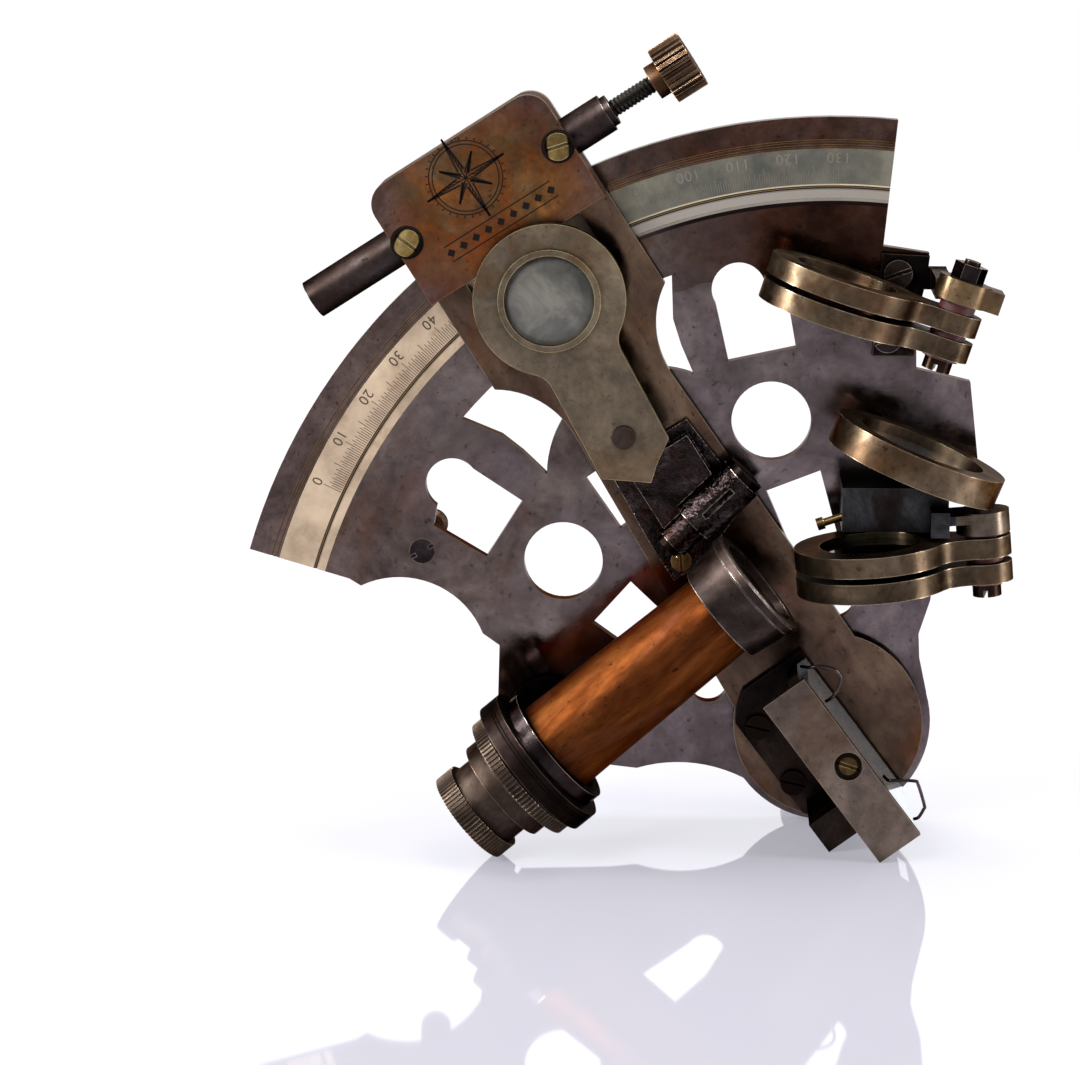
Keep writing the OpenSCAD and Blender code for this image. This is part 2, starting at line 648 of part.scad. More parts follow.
// Opening over the scale, with the vernier along its inner edge
vernier_out = scale_in + 2;
vernier_in = vernier_out - 2.6;
view_half_w = 11;
module view_window() intersection() {
  difference() {
    circle(scale_out - 0.9, $fn = 180);
    circle(vernier_in, $fn = 180);
  }
  translate([0, -view_half_w]) square([2 * limb_r, 2 * view_half_w]);
}
clamp_slot = [limb_r + 1.2, 11.6, 6];
module index_arm() color(bronze) on_arm() translate([0, 0, face_gap]) difference() {
  linear_extrude(arm_t) difference() {
    arm_outline();
    view_window();
    // way out for the clamp beyond the limb
    translate([clamp_slot[0], -clamp_slot[2]]) square([clamp_slot[1], 2 * clamp_slot[2]]);
  }
  translate([0, 0, -1]) cylinder(r = shaft_r, h = arm_t + 2, $fn = fine);
  for (p = concat([brass_screw_at], cover_screws_at)) translate([p[0], p[1], -1])
    cylinder(r = p[2], h = arm_t + 2, $fn = small);
}
module vernier_plate() color(silver) on_arm() translate([0, 0, face_gap]) linear_extrude(arm_t * 0.6)
  intersection() {
    difference() {
      circle(vernier_out, $fn = 180);
      circle(vernier_in, $fn = 180);
    }
    translate([0, -view_half_w]) square([2 * limb_r, 2 * view_half_w]);
  }

// Tangent screw housing and cover

cover_screw_y = arm_end_half_w - 2.1;
cover_screws_at = [[cover_mid + 0.3, cover_screw_y, 1.1], [cover_mid + 0.3, -cover_screw_y, 1.1]];
module housing_outline(inset) difference() {
  translate([cover_at + inset, -arm_end_half_w + inset])
    square([cover_len - 2 * inset, 2 * arm_end_half_w - 2 * inset]);
  corner_cuts(inset);
}
module tangent_housing() color(copper) difference() {
  on_arm() translate([0, 0, arm_top]) linear_extrude(housing_h) difference() {
    housing_outline(0);
    difference() {
      housing_outline(housing_wall);
      for (side = [-1, 1]) translate([rod_at - 20, side > 0 ? chamber_half : -chamber_half - 30]) square([40, 30]);
    }
  }
  on_rod() translate([0, 0, -60]) cylinder(r = tube_r, h = 120, $fn = small);
  on_arm() for (p = cover_screws_at) translate([p[0], p[1], -1]) cylinder(r = p[2], h = 30, $fn = small);
}
module cover_plate() color(copper) on_arm() translate([0, 0, housing_top]) difference() {
  linear_extrude(cover_t) housing_outline(0);
  for (p = cover_screws_at) translate([p[0], p[1], -1]) cylinder(r = p[2], h = 10, $fn = small);
}
module cover_screws() color(brass) on_arm() for (p = cover_screws_at) translate([p[0], p[1], cover_top]) {
  slotted_head(2.2, head_h, p[1] > 0 ? 20 : 75);
  translate([0, 0, -cover_t]) cylinder(r = p[2] - turn_gap, h = cover_t, $fn = small);
}

chamber_half = arm_end_half_w - 6;
tube_seat = chamber_half + 0.4;
module spring_tube() color(dark) on_rod() difference() {
  translate([0, 0, -arm_end_half_w - spring_tube_len]) cylinder(r = tube_r,
    h = spring_tube_len + arm_end_half_w - tube_seat, $fn = small);
  translate([0, 0, -arm_end_half_w - spring_tube_len + 1.2]) cylinder(r = tube_r - 0.9, h = 60, $fn = small);
}
module guide_tube() color(dark) on_rod() difference() {
  union() {
    translate([0, 0, tube_seat]) cylinder(r = tube_r,
      h = guide_tube_len + arm_end_half_w - tube_seat - 1, $fn = small);
    translate([0, 0, tube_seat + 1]) cylinder(r = tube_r - 0.6,
      h = guide_tube_len + arm_end_half_w - tube_seat - 1, $fn = small);
  }
  translate([0, 0, -1]) cylinder(r = rod_r + turn_gap, h = 60, $fn = small);
}
spring_wire = 0.5;
spring_coil_r = tube_r - 0.9 - 0.15 - spring_wire;
spring_from = -arm_end_half_w - spring_tube_len + 1.2 + spring_wire;
spring_to = -tube_seat - spring_wire;
spring_coils = 18;
module tension_spring() color(silver) on_rod() rotate_extrude($fn = small)
  for (i = [0:spring_coils]) translate([spring_coil_r, spring_from + i * (spring_to - spring_from) / spring_coils])
    circle(spring_wire, $fn = 16);

// The tangent screw: rod, stop and fluted knob in one piece
rod_from = -nut_half - 1.2;
knob_at = arm_end_half_w + guide_tube_len + rod_bare;
module tangent_screw() color(brass) on_rod() {
  translate([0, 0, rod_from]) cylinder(r = rod_r, h = knob_at + knob_len - rod_from - 0.5, $fn = small);
  difference() {
    translate([0, 0, knob_at]) union() {
      cylinder(r = knob_r * 0.6, h = 2.2, $fn = small);
      translate([0, 0, 2]) fluted(knob_r, knob_len, knob_flutes, 0.5);
    }
    translate([0, 0, rod_from]) cylinder(r = rod_r, h = knob_at + knob_len - rod_from - 0.5, $fn = small);
  }
}

// Clamp: a nut block on the rod, a bridge past the limb's edge and a jaw behind the limb
jaw_t = 3.4;
jaw_back = -plate_t - face_gap - jaw_t;
clamp_bore_r = 1.5;
clamp_at = limb_r - 4.5;
module clamp_slide() color(bronze) difference() {
  on_arm() union() {
    translate([rod_at - 2.9, -nut_half, jaw_back]) cube([5.6, 2 * nut_half, arm_top + housing_h - 1 - jaw_back]);
    translate([limb_r - 9, -nut_half - 2.4, jaw_back]) cube([cover_len / 2 + 9.5, 2 * nut_half + 4.8, jaw_t]);
  }
  on_rod() translate([0, 0, -20]) cylinder(r = rod_r + 0.1, h = 40, $fn = small);
  on_arm() translate([clamp_at, 0, jaw_back - 1]) cylinder(r = clamp_bore_r + turn_gap, h = 20, $fn = small);
}
module clamp_screw() color(brass) on_arm() translate([clamp_at, 0, 0]) {
  translate([0, 0, jaw_back - 3.6]) cylinder(r = clamp_bore_r, h = 3.6 + jaw_t, $fn = small);
  translate([0, 0, jaw_back - face_gap - 1.2]) ring(2.6, clamp_bore_r, 1.2);
  translate([0, 0, jaw_back - 7.6]) fluted(5, 4, 26, 0.5);
}

// Magnifier

// A stepped barrel lies across the arm behind the post, a slotted screw closes each of its ends
barrel_at = [41.6, -1, 4.6];
barrel_turn = 12;
barrel_r = [3.9, 2.8];
barrel_len = [9.6, 6];
barrel_screws_at = [[barrel_len[1], barrel_r[1] - 0.5, 1], [-barrel_len[0], barrel_r[0] - 0.5, -1]];
brass_screw_at = [36.6, 5.6, 1];
bracket_h = magnifier_z - arm_top - face_gap;
module linear_extrude_from(z, h) translate([0, 0, z]) linear_extrude(h) children();
module on_barrel() on_arm() translate([barrel_at[0], barrel_at[1], arm_top + barrel_at[2]])
  rotate([0, 0, barrel_turn]) rotate([-90, 0, 0]) children();
module magnifier_bracket() color(dark) difference() {
  union() {
    on_barrel() {
      translate([0, 0, -barrel_len[0]]) cylinder(r = barrel_r[0], h = barrel_len[0] + 1.2, $fn = small);
      cylinder(r = barrel_r[1], h = barrel_len[1], $fn = small);
    }
    on_arm() {
      linear_extrude_from(arm_top, 1.6) polygon([[34.4, 3], [39.5, -9.2], [56, -7.6], [56, 7.6], [42, 8.4], [34.4, 8.4]]);
      // web below the barrel, and the plate between it and the post
      translate([39.2, -8.2, arm_top + 0.8]) cube([4.6, 12.4, barrel_at[2] - 1.4]);
      translate([43.2, -6.6, arm_top + 0.9]) cube([11, 11.4, 4.2]);
      // post of the magnifier
      translate([magnifier_pivot, 1.5, arm_top]) cylinder(r = 3.6, h = bracket_h, $fn = small);
      translate([53, -3.5, arm_top + 0.1]) cube([magnifier_pivot - 53, 7, 3.4]);
    }
  }
  on_arm() translate([magnifier_pivot, 1.5, 0]) cylinder(r = 1.2, h = 40, $fn = small);
  on_arm() translate([brass_screw_at[0], brass_screw_at[1], 0]) cylinder(r = brass_screw_at[2], h = 20, $fn = small);
  // slot along the barrel's front, and the tapped ends
  on_barrel() translate([-0.5, -barrel_r[0] - 1, -barrel_len[0] + 2.2]) cube([1, 2.2, barrel_len[0] - 3.4]);
  on_barrel() translate([0, 0, -barrel_len[0] - 1]) cylinder(r = 1, h = barrel_len[0] + barrel_len[1] + 2, $fn = small);
}
module magnifier_bracket_screws() color(dark) {
  for (p = barrel_screws_at) on_barrel() translate([0, 0, p[0]]) rotate([p[2] > 0 ? 0 : 180, 0, 0]) {
    slotted_head(p[1], 1.1, 30);
    translate([0, 0, -3]) cylinder(r = 1 - turn_gap, h = 3, $fn = small);
  }
  on_arm() translate([brass_screw_at[0], brass_screw_at[1], arm_top]) {
    translate([0, 0, 1.6]) slotted_head(1.7, head_h, 150);
    translate([0, 0, -arm_t]) cylinder(r = brass_screw_at[2] - turn_gap, h = arm_t + 1.6, $fn = small);
  }
}

magnifier_reach = lens_at - magnifier_pivot;
bezel_h = 0.9;
module on_magnifier() on_arm() translate([magnifier_pivot, 1.5, magnifier_z])
  rotate([0, 0, -atan2(1.8, magnifier_reach)]) children();
module magnifier_plate() color(olive) on_magnifier() difference() {
  union() {
    linear_extrude(magnifier_t) difference() {
      paddle(magnifier_r, magnifier_reach, 3, 6.3, 4, 9);
      // pointed tail
      polygon([[-20, -20], [-3.4, -20], [-3.4, -6.4], [-6, -3], [-8.5, -0.4], [-4.2, 6.4], [-4.2, 20], [-20, 20]]);
    }
    translate([magnifier_reach, 0, 1]) cylinder(r = lens_r + 1, h = magnifier_t + bezel_h - 1, $fn = fine);
  }
  translate([magnifier_reach, 0, -1]) cylinder(r = lens_r, h = 10, $fn = fine);
  translate([0, 0, -1]) cylinder(r = 1.2 + turn_gap, h = 10, $fn = small);
}
module magnifier_lens() color(glass) on_magnifier() translate([magnifier_reach, 0, 0])
  rotate_extrude($fn = fine) polygon([[0, 0.2], [lens_r, 0.2], [lens_r, 2], [5.4, 2.5], [2.7, 2.9], [0, 3]]);
module magnifier_rivet() color(brass) on_arm() translate([magnifier_pivot, 1.5, arm_top]) {
  cylinder(r = 1.2, h = magnifier_z + magnifier_t - arm_top + 0.1, $fn = small);
  translate([0, 0, magnifier_z + magnifier_t - arm_top + 0.1]) cylinder(r = 1.9, h = 0.6, $fn = small);
}

// Index mirror

cap_t = 1.6;
back_t = 2;
cap_low = cap_mid - mirror_len / 2;
glass_y = mirror_cap_w / 2 - 0.1;
base_t = 1.6;
block_top = 18.5;
cap_screw_at = cap_mid - 0.1;
cap_screw_y = 1.3;
mirror_screws_at = [[-6.8, -9.3, 1.2], [4.2, -10.2, 1.2]];
module mirror_holder() color(olive) on_mirror() difference() {
  union() {
    // foot on the disc, back plate and cap
    intersection() {
      translate([cap_low, -12, arm_top]) cube([mirror_len, 12 + mirror_cap_w / 2, base_t]);
      cylinder(r = arm_disc_r - 0.3, h = 30, $fn = fine);
    }
    translate([cap_low + 1.6, glass_y - glass_t - back_t, arm_top])
      cube([mirror_len - 3.2, back_t, mirror_h - arm_top]);
    translate([cap_low, -mirror_cap_w / 2, mirror_h - cap_t]) cube([mirror_len, mirror_cap_w, cap_t]);
    // block at the lower end of the back
    translate([8.2, -10.3, arm_top + 0.8]) cube([5.5, 10 + glass_y - glass_t, block_top - arm_top - 0.8]);
  }
  for (p = mirror_screws_at) translate([p[0], p[1], -1]) cylinder(r = p[2], h = 10, $fn = small);
  translate([cap_screw_at, cap_screw_y, mirror_h - 0.9]) cylinder(r = 2.3, h = 4, $fn = small);
}
module index_mirror() color(silver) on_mirror()
  translate([cap_low + 1.6, glass_y - glass_t, arm_top + base_t])
    cube([mirror_len - 3.2, glass_t, mirror_h - cap_t - arm_top - base_t]);
// Two wire clips that hold the glass against the back plate
clip_r = 0.4;
module mirror_clips() color(dark) on_mirror() for (x = [cap_low + 6.5, cap_low + mirror_len - 8.5]) {
  translate([x, glass_y + clip_r, arm_top + base_t + 1]) cylinder(r = clip_r, h = mirror_h - 7, $fn = 16);
  translate([x, glass_y + clip_r, arm_top + base_t + 1]) rotate([0, 90, 0]) cylinder(r = clip_r, h = 3, $fn = 16);
}
module mirror_screws() color(brass) on_mirror() {
  for (p = mirror_screws_at) translate([p[0], p[1], arm_top]) {
    translate([0, 0, base_t]) slotted_head(2.1, 1, 40);
    cylinder(r = p[2] - turn_gap, h = base_t, $fn = small);
  }
  translate([cap_screw_at, cap_screw_y, mirror_h - 0.9]) slotted_head(2.1, 0.7, 35);
}

place() frame_plate();
place() scale_strip();
place() pivot_bush();
place() leg_left();
place() leg_right();
place() leg_apex();
place() leg_screws();
place() scope_bracket();
place() scope_bracket_screws();
place() scope_collar();
place() scope_tube();
place() objective_cell();
place() objective_lens();
place() lock_ring();
place() eyepiece_tube();
place() eyecup();
place() eye_lens();
place() horizon_cell();
place() horizon_mirror();
place() horizon_bracket();
place() horizon_bracket_screws();
place() mirror_adjuster();
place() horizon_shade_bracket();
place() horizon_shade_bracket_screws();
place() horizon_shade_screw();
place() horizon_shade_nut();
place() horizon_shade_washers();
place() horizon_shade_upper();
place() horizon_shade_upper_glass();
place() horizon_shade_lower();
place() horizon_shade_lower_glass();
place() index_shade_screw();
place() index_shade_washers();
place() index_shade_upper();
place() index_shade_upper_glass();
place() index_shade_lower();
place() index_shade_lower_glass();
place() index_arm();
place() vernier_plate();
place() pivot_shaft();
place() pivot_nut();
place() tangent_housing();
place() cover_plate();
place() cover_screws();
place() spring_tube();
place() guide_tube();
place() tension_spring();
place() magnifier_bracket();
place() magnifier_bracket_screws();
place() mirror_holder();
place() index_mirror();
place() mirror_clips();
place() mirror_screws();
place() magnifier_plate();
place() magnifier_lens();
place() magnifier_rivet();
place() tangent_screw();
place() clamp_slide();
place() clamp_screw();
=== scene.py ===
"""Finishes, engraving and stage of the small brass sextant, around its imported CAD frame."""

import math

import bpy
import numpy as np
from bpy.props import FloatProperty, FloatVectorProperty, IntProperty, PointerProperty
from mathutils import Matrix, Vector


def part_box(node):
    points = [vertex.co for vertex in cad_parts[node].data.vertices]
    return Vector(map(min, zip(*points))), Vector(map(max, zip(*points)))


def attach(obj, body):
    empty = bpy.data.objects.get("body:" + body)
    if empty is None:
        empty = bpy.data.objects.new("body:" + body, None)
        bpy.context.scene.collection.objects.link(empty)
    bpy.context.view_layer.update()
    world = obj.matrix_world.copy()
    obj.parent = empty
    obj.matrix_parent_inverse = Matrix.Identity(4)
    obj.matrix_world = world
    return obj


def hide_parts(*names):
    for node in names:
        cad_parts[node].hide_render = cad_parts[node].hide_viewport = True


bl_info = {
    "name": "Brass Sextant",
    "version": (1, 0, 0),
    "blender": (4, 2, 0),
    "location": "View3D > Sidebar > Sextant",
    "description": "Finishes, scale, threads, wires and stage of a small brass sextant",
    "category": "Object",
}

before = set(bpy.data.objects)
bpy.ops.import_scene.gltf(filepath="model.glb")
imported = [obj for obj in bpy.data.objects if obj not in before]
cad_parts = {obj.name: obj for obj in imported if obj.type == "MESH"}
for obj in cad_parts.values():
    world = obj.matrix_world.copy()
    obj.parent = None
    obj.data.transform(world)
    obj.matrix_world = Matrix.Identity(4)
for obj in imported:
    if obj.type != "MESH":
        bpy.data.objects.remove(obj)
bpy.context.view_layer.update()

MM = 0.001
FULL_TURN = 2 * math.pi

# Radii of what runs along the limb, from the pivot
# Band of painted reflection, dark red, below the strip at the right
DARK_REFLECTION_R, DARK_REFLECTION_HALF = 84 * MM, 5.5 * MM
SHADOW_R, SHADOW_HALF = 86.2 * MM, 0.35 * MM
# Band of painted highlight along the frame's lip
LIP_HIGHLIGHT_R, LIP_HIGHLIGHT_HALF = 86.9 * MM, 0.4 * MM
# Outer edge of the painted highlight on the strip's inner margin
MARGIN_HIGHLIGHT_R = 88.45 * MM
SCRIBED_R, SCRIBED_HALF = 88.72 * MM, 0.27 * MM
CREAM_R, CREAM_HALF = 89.1 * MM, 0.12 * MM
LIMB_FROM_R, LIMB_TO_R = 92 * MM, 99 * MM

# How deep behind the plate's face the bands beside the limb colour it
SKIN = 1 * MM

# Height of engraving over the face that bears it
PROUD = 0.02 * MM

# The vernier: lines to each side of its middle, their step, lengths and half width
VERNIER_LINES, VERNIER_STEP = 24, math.radians(0.245)
VERNIER_LONG, VERNIER_SHORT, VERNIER_HALF = 1.6 * MM, 0.9 * MM, 0.05 * MM

# The cover's engraving: shares of the star's reach or of a point's, and counts
SHORT_POINT, WAIST, RING_SHARES, TICK_SHARES = 0.6, 0.2, (0.74, 0.82), (0.84, 0.9)
COVER_TICKS, LOZENGES, HATCHES = 32, 9, 7

# What is bronze of the index mirror's holder: from this height, within this half width
CAP_FROM, CAP_HALF = 10 * MM, 4.15 * MM

# How far from the cap's middle line the clips' wires lie on the glass, mm
WIRE_AT = 4.4

# How far the shades' lugs are bronze: the upper from its front, the lower from its end
LUG_DEEP, BLOCK_END = 5.5 * MM, 9 * MM

# Lines turned round the collar, from the telescope's origin, and half their width
COLLAR_LINES, COLLAR_HALF = (-4.9 * MM, -4.4 * MM, -2.5 * MM), 0.12 * MM

# The tangent screw's thread: its root, its start past the guide tube's middle, its length
THREAD_ROOT, THREAD_FROM, THREAD_LONG = 1.26 * MM, 7 * MM, 8.6 * MM

# A direction that none of the wires runs in
ASIDE = (0.31, 0.52, 0.79)

# Within this distance of other faces metal is darkened with painted shade
CREVICE_SHADE_REACH = 2.6 * MM

# Where the floor starts to turn white and where it is white, and what the lights aim at
FLOOR_NEAR, FLOOR_FAR, AIM = 0.3, 1.2, Vector((0, 0, 60 * MM))


# Settings


def length(name, default, text):
    """A length property, in metres."""
    return FloatProperty(name=name, description=text, default=default, min=0.0, unit="LENGTH")


def angle(name, degrees, text):
    """An angle property, given in degrees and kept in radians."""
    turn = math.radians(degrees)
    return FloatProperty(name=name, description=text, default=turn, subtype="ANGLE")


class ScaleSettings(bpy.types.PropertyGroup):
    """Graduation of the limb and of the vernier."""

    zero: angle("Zero", 154.8, "Direction of the scale's zero, seen from the pivot")
    last: IntProperty(name="Last degree", description="Highest reading", default=130)
    numeral_r: length("Numeral radius", 93.5 * MM, "Radius of the middle of the numerals")
    numeral_h: length("Numeral height", 1.95 * MM, "Height of a numeral")
    tick_r: length("Tick radius", 89.1 * MM, "Radius where every tick starts")
    tick_w: length("Tick width", 0.11 * MM, "Width of a tick")
    tick_short: length("Short tick", 1.9 * MM, "Length of a half degree's tick")
    tick_degree: length("Degree tick", 2.4 * MM, "Length of a degree's tick")
    tick_five: length("Long tick", 3.2 * MM, "Length of a fifth degree's tick")


class ArmSettings(bpy.types.PropertyGroup):
    """Where the index arm and what it carries stand."""

    turn: angle("Arm", 122.6, "Direction of the index arm, seen from the pivot")
    mirror_turn: angle("Mirror", 4.2, "Angle between the mirror's cap and the arm")
    rod_at: length("Tangent screw", 104.9 * MM, "Distance from the pivot to the screw")
    rod_pitch: length("Thread pitch", 0.7 * MM, "Pitch of the tangent screw")
    rod_depth: length("Thread depth", 0.22 * MM, "Depth of the tangent screw's thread")


class CoverSettings(bpy.types.PropertyGroup):
    """Engraving of the cover plate: a compass star over a band of lozenges."""

    star_out: length("Star", 7.2 * MM, "Radius of the star's long points")
    star_left: length("Star's side place", 1.0 * MM, "How far the star sits to the left")
    star_up: length("Star's place", 5.0 * MM, "How far the star sits outwards")
    band_down: length("Band's place", 3.89 * MM, "How far the band sits inwards")
    band_half: length("Band", 9.41 * MM, "Half of the band's length")
    band_wide: length("Band's width", 1.34 * MM, "Half of the band's width")
    line: length("Line", 0.3 * MM, "Width of an engraved line")
    # The dark ring round a screw is painted shade of its recess
    sunk_ring: length("Screw ring", 0.5 * MM, "Width of the dark ring round a screw")


class ClipSettings(bpy.types.PropertyGroup):
    """Bent wires that hold the index mirror."""

    radius: length("Radius", 0.27 * MM, "Radius of the wire")
    high: length("Bend", 22.6 * MM, "Height above the plate of the wires' bent ends")


class ScopeSettings(bpy.types.PropertyGroup):
    """Direction of the telescope, and where distances along it start."""

    turn: angle("Telescope", 40.3, "Direction of the telescope's axis")
    ahead: length("Origin", 5.2 * MM, "From the middle of the collar to where distances start")


class StageSettings(bpy.types.PropertyGroup):
    """Camera and light, placed from the index pivot."""

    camera_from_pivot: FloatVectorProperty(
        name="Camera",
        description="Camera's place from the pivot at the plate's front face",
        default=(-0.0213, -0.5653, 0.1463),
        subtype="TRANSLATION",
        unit="LENGTH",
    )
    camera_pitch: angle("Camera pitch", -11.47, "Camera's tilt from the horizon")
    camera_yaw: angle("Camera yaw", 2.68, "Camera's turn to the left")
    lens: FloatProperty(name="Lens", description="Focal length, mm", default=116.7)
    key_power: FloatProperty(name="Key", description="Key light, W", default=6.0)
    rim_power: FloatProperty(name="Rim", description="Rim light, W", default=4.0)
    fill: FloatProperty(name="Fill", description="World light", default=1.0)
    floor_size: length("Floor", 8.0, "Width of the floor")
    floor_tone: FloatVectorProperty(
        name="Floor tone",
        description="Colour of the floor",
        default=(0.18, 0.178, 0.2),
        subtype="COLOR",
    )
    floor_glow: FloatProperty(name="Floor glow", description="Light of its own", default=1.75)
    floor_rough: FloatProperty(name="Floor roughness", description="Its roughness", default=0.04)
    floor_ior: FloatProperty(name="Floor IOR", description="Strength of its reflection", default=2.2)


class SextantSettings(bpy.types.PropertyGroup):
    """All settings of the sextant."""

    scale: PointerProperty(type=ScaleSettings)
    arm: PointerProperty(type=ArmSettings)
    cover: PointerProperty(type=CoverSettings)
    clip: PointerProperty(type=ClipSettings)
    scope: PointerProperty(type=ScopeSettings)
    stage: PointerProperty(type=StageSettings)


# Places


def centre(node):
    """Middle of a CAD node's box."""
    low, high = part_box(node)
    return (low + high) / 2


def plate_matrix():
    """The drawing's axes at the pivot: x right, y up, z towards the observer."""
    pivot = centre("pivot_shaft")
    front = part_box("frame_plate")[0].y
    return Matrix(((1, 0, 0, pivot.x), (0, 0, -1, front), (0, 1, 0, pivot.z), (0, 0, 0, 1)))


def arm_matrix(settings):
    """The plate's axes turned so that x runs outwards along the arm."""
    return plate_matrix() @ Matrix.Rotation(settings.arm.turn, 4, "Z")


def mirror_matrix(settings):
    """The plate's axes turned so that x runs down the mirror's cap."""
    turn = settings.arm.turn + settings.arm.mirror_turn - math.pi
    return plate_matrix() @ Matrix.Rotation(turn, 4, "Z")


def cover_matrix(settings):
    """The cover's own axes on its face: x along its length to the knob, y outwards."""
    arm = arm_matrix(settings)
    middle = arm.inverted() @ centre("cover_plate")
    top = front_height(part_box("cover_plate")[0])
    turn = Matrix.Rotation(-math.pi / 2, 4, "Z")
    return arm @ Matrix.Translation((middle.x, middle.y, top)) @ turn


def scope_matrix(settings):
    """The plate's axes moved to the telescope and turned so that x runs to its objective."""
    middle = in_plate(centre("scope_collar"))
    turn = Matrix.Rotation(settings.scope.turn, 4, "Z")
    ahead = turn @ Vector((settings.scope.ahead, 0, 0))
    return plate_matrix() @ Matrix.Translation(middle + ahead) @ turn


def rod_matrix(settings):
    """The tangent screw's axes: z along the rod towards the knob."""
    height = front_height(centre("tangent_screw"))
    place = Matrix.Translation((settings.arm.rod_at, 0, height))
    return arm_matrix(settings) @ place @ Matrix.Rotation(math.pi / 2, 4, "X")


def front_height(point):
    """Height of a point of the row frame above the plate's front face."""
    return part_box("frame_plate")[0].y - point.y


def in_plate(point):
    """A point of the row frame in the plate's axes."""
    return plate_matrix().inverted() @ point


# Meshes


def new_mesh(name, points, faces, material, smooth=False):
    """Makes an object at the origin from points of the row frame."""
    mesh = bpy.data.meshes.new(name)
    mesh.from_pydata([tuple(p) for p in points], [], [tuple(f) for f in faces])
    mesh.validate()
    mesh.polygons.foreach_set("use_smooth", [smooth] * len(mesh.polygons))
    mesh.materials.append(material)
    obj = bpy.data.objects.new(name, mesh)
    bpy.context.collection.objects.link(obj)
    return obj


def moved(points, matrix):
    """Points, an array of rows, taken through a 4 by 4 matrix."""
    m = np.array(matrix)
    return points @ m[:3, :3].T + m[:3, 3]


def grid_faces(rows, columns):
    """Quads of a grid of points, closed round the columns."""
    faces = []
    for low in range(0, (rows - 1) * columns, columns):
        high = low + columns
        for j in range(columns):
            k = (j + 1) % columns
            faces.append((low + j, low + k, high + k, high + j))
    return faces


def tube(path, radius, sides=12):
    """Surface of a wire: each path point's circle lies across the path's direction.

    The point is the path's point, plus the radius times the cosine of the turn along
    one normal, plus the radius times its sine along the other normal.
    """
    path = np.asarray(path, float)
    along = np.gradient(path, axis=0)
    along /= np.linalg.norm(along, axis=1, keepdims=True)
    side = np.cross(along, ASIDE)
    side /= np.linalg.norm(side, axis=1, keepdims=True)
    other = np.cross(along, side)
    turn = np.arange(sides) * FULL_TURN / sides
    ring = side[:, None] * np.cos(turn)[None, :, None] + other[:, None] * np.sin(turn)[None, :, None]
    points = (path[:, None] + radius * ring).reshape(-1, 3)
    count = len(path)
    faces = grid_faces(count, sides)
    faces.append(tuple(range(sides))[::-1])
    faces.append(tuple((count - 1) * sides + j for j in range(sides)))
    return points, faces


def thread(root, depth, pitch, low, high, around=40, per_turn=8):
    """Surface of a screw thread round z.

    The radius is the root, plus the depth times a rounded triangle wave of the height
    over the pitch less the turn over a full turn. The wave fades out at both ends.
    """
    rows = max(8, int((high - low) / pitch * per_turn))
    z = np.linspace(low, high, rows)[:, None]
    turn = (np.arange(around) * FULL_TURN / around)[None, :]
    phase = (z / pitch - turn / FULL_TURN) % 1.0
    wave = (1 - np.abs(2 * phase - 1)) ** 0.8
    ends = np.clip(np.minimum(z - low, high - z) / (0.4 * pitch), 0, 1)
    radius = root + depth * wave * ends
    points = np.stack([radius * np.cos(turn), radius * np.sin(turn), z + 0 * turn], axis=-1)
    return points.reshape(-1, 3), grid_faces(rows, around)


def smooth(path, steps=6):
    """A rounder path: cubics between the points, with slopes from the points beside them."""
    ends = np.concatenate([path[:1], path, path[-1:]])
    share = np.linspace(0, 1, steps, endpoint=False)[:, None]
    parts = []
    for a, b, c, d in zip(ends[:-3], ends[1:-2], ends[2:-1], ends[3:]):
        parts.append(
            b
            + 0.5 * share * (c - a)
            + share**2 * (a - 2.5 * b + 2 * c - 0.5 * d)
            + 0.5 * share**3 * (d - a + 3 * (b - c))
        )
    return np.concatenate(parts + [path[-1:]])


def polar(middle, reach, angle):
    """The flat point at that reach and angle from the middle."""
    return middle[0] + reach * math.cos(angle), middle[1] + reach * math.sin(angle)


def circle(middle, radius, count):
    """A closed round path."""
    return [polar(middle, radius, i * FULL_TURN / count) for i in range(count + 1)]


def bars(rows):
    """Thin raised bars: each row is (centre x, y, z, along x, along y, half length, half width)."""
    points, faces = [], []
    for x, y, z, ax, ay, half, wide in rows:
        base = len(points)
        for i, j in ((-1, -1), (1, -1), (1, 1), (-1, 1)):
            points.append((x + i * half * ax - j * wide * ay, y + i * half * ay + j * wide * ax, z))
        faces.append((base, base + 1, base + 2, base + 3))
    return np.array(points), faces


# Materials


def tone(code):
    """Linear colour of a hexadecimal display colour."""
    parts = [int(code[i : i + 2], 16) / 255 for i in (1, 3, 5)]
    return tuple(
        p / 12.92 if p <= 0.04045 else ((p + 0.055) / 1.055) ** 2.4 for p in parts
    ) + (1.0,)


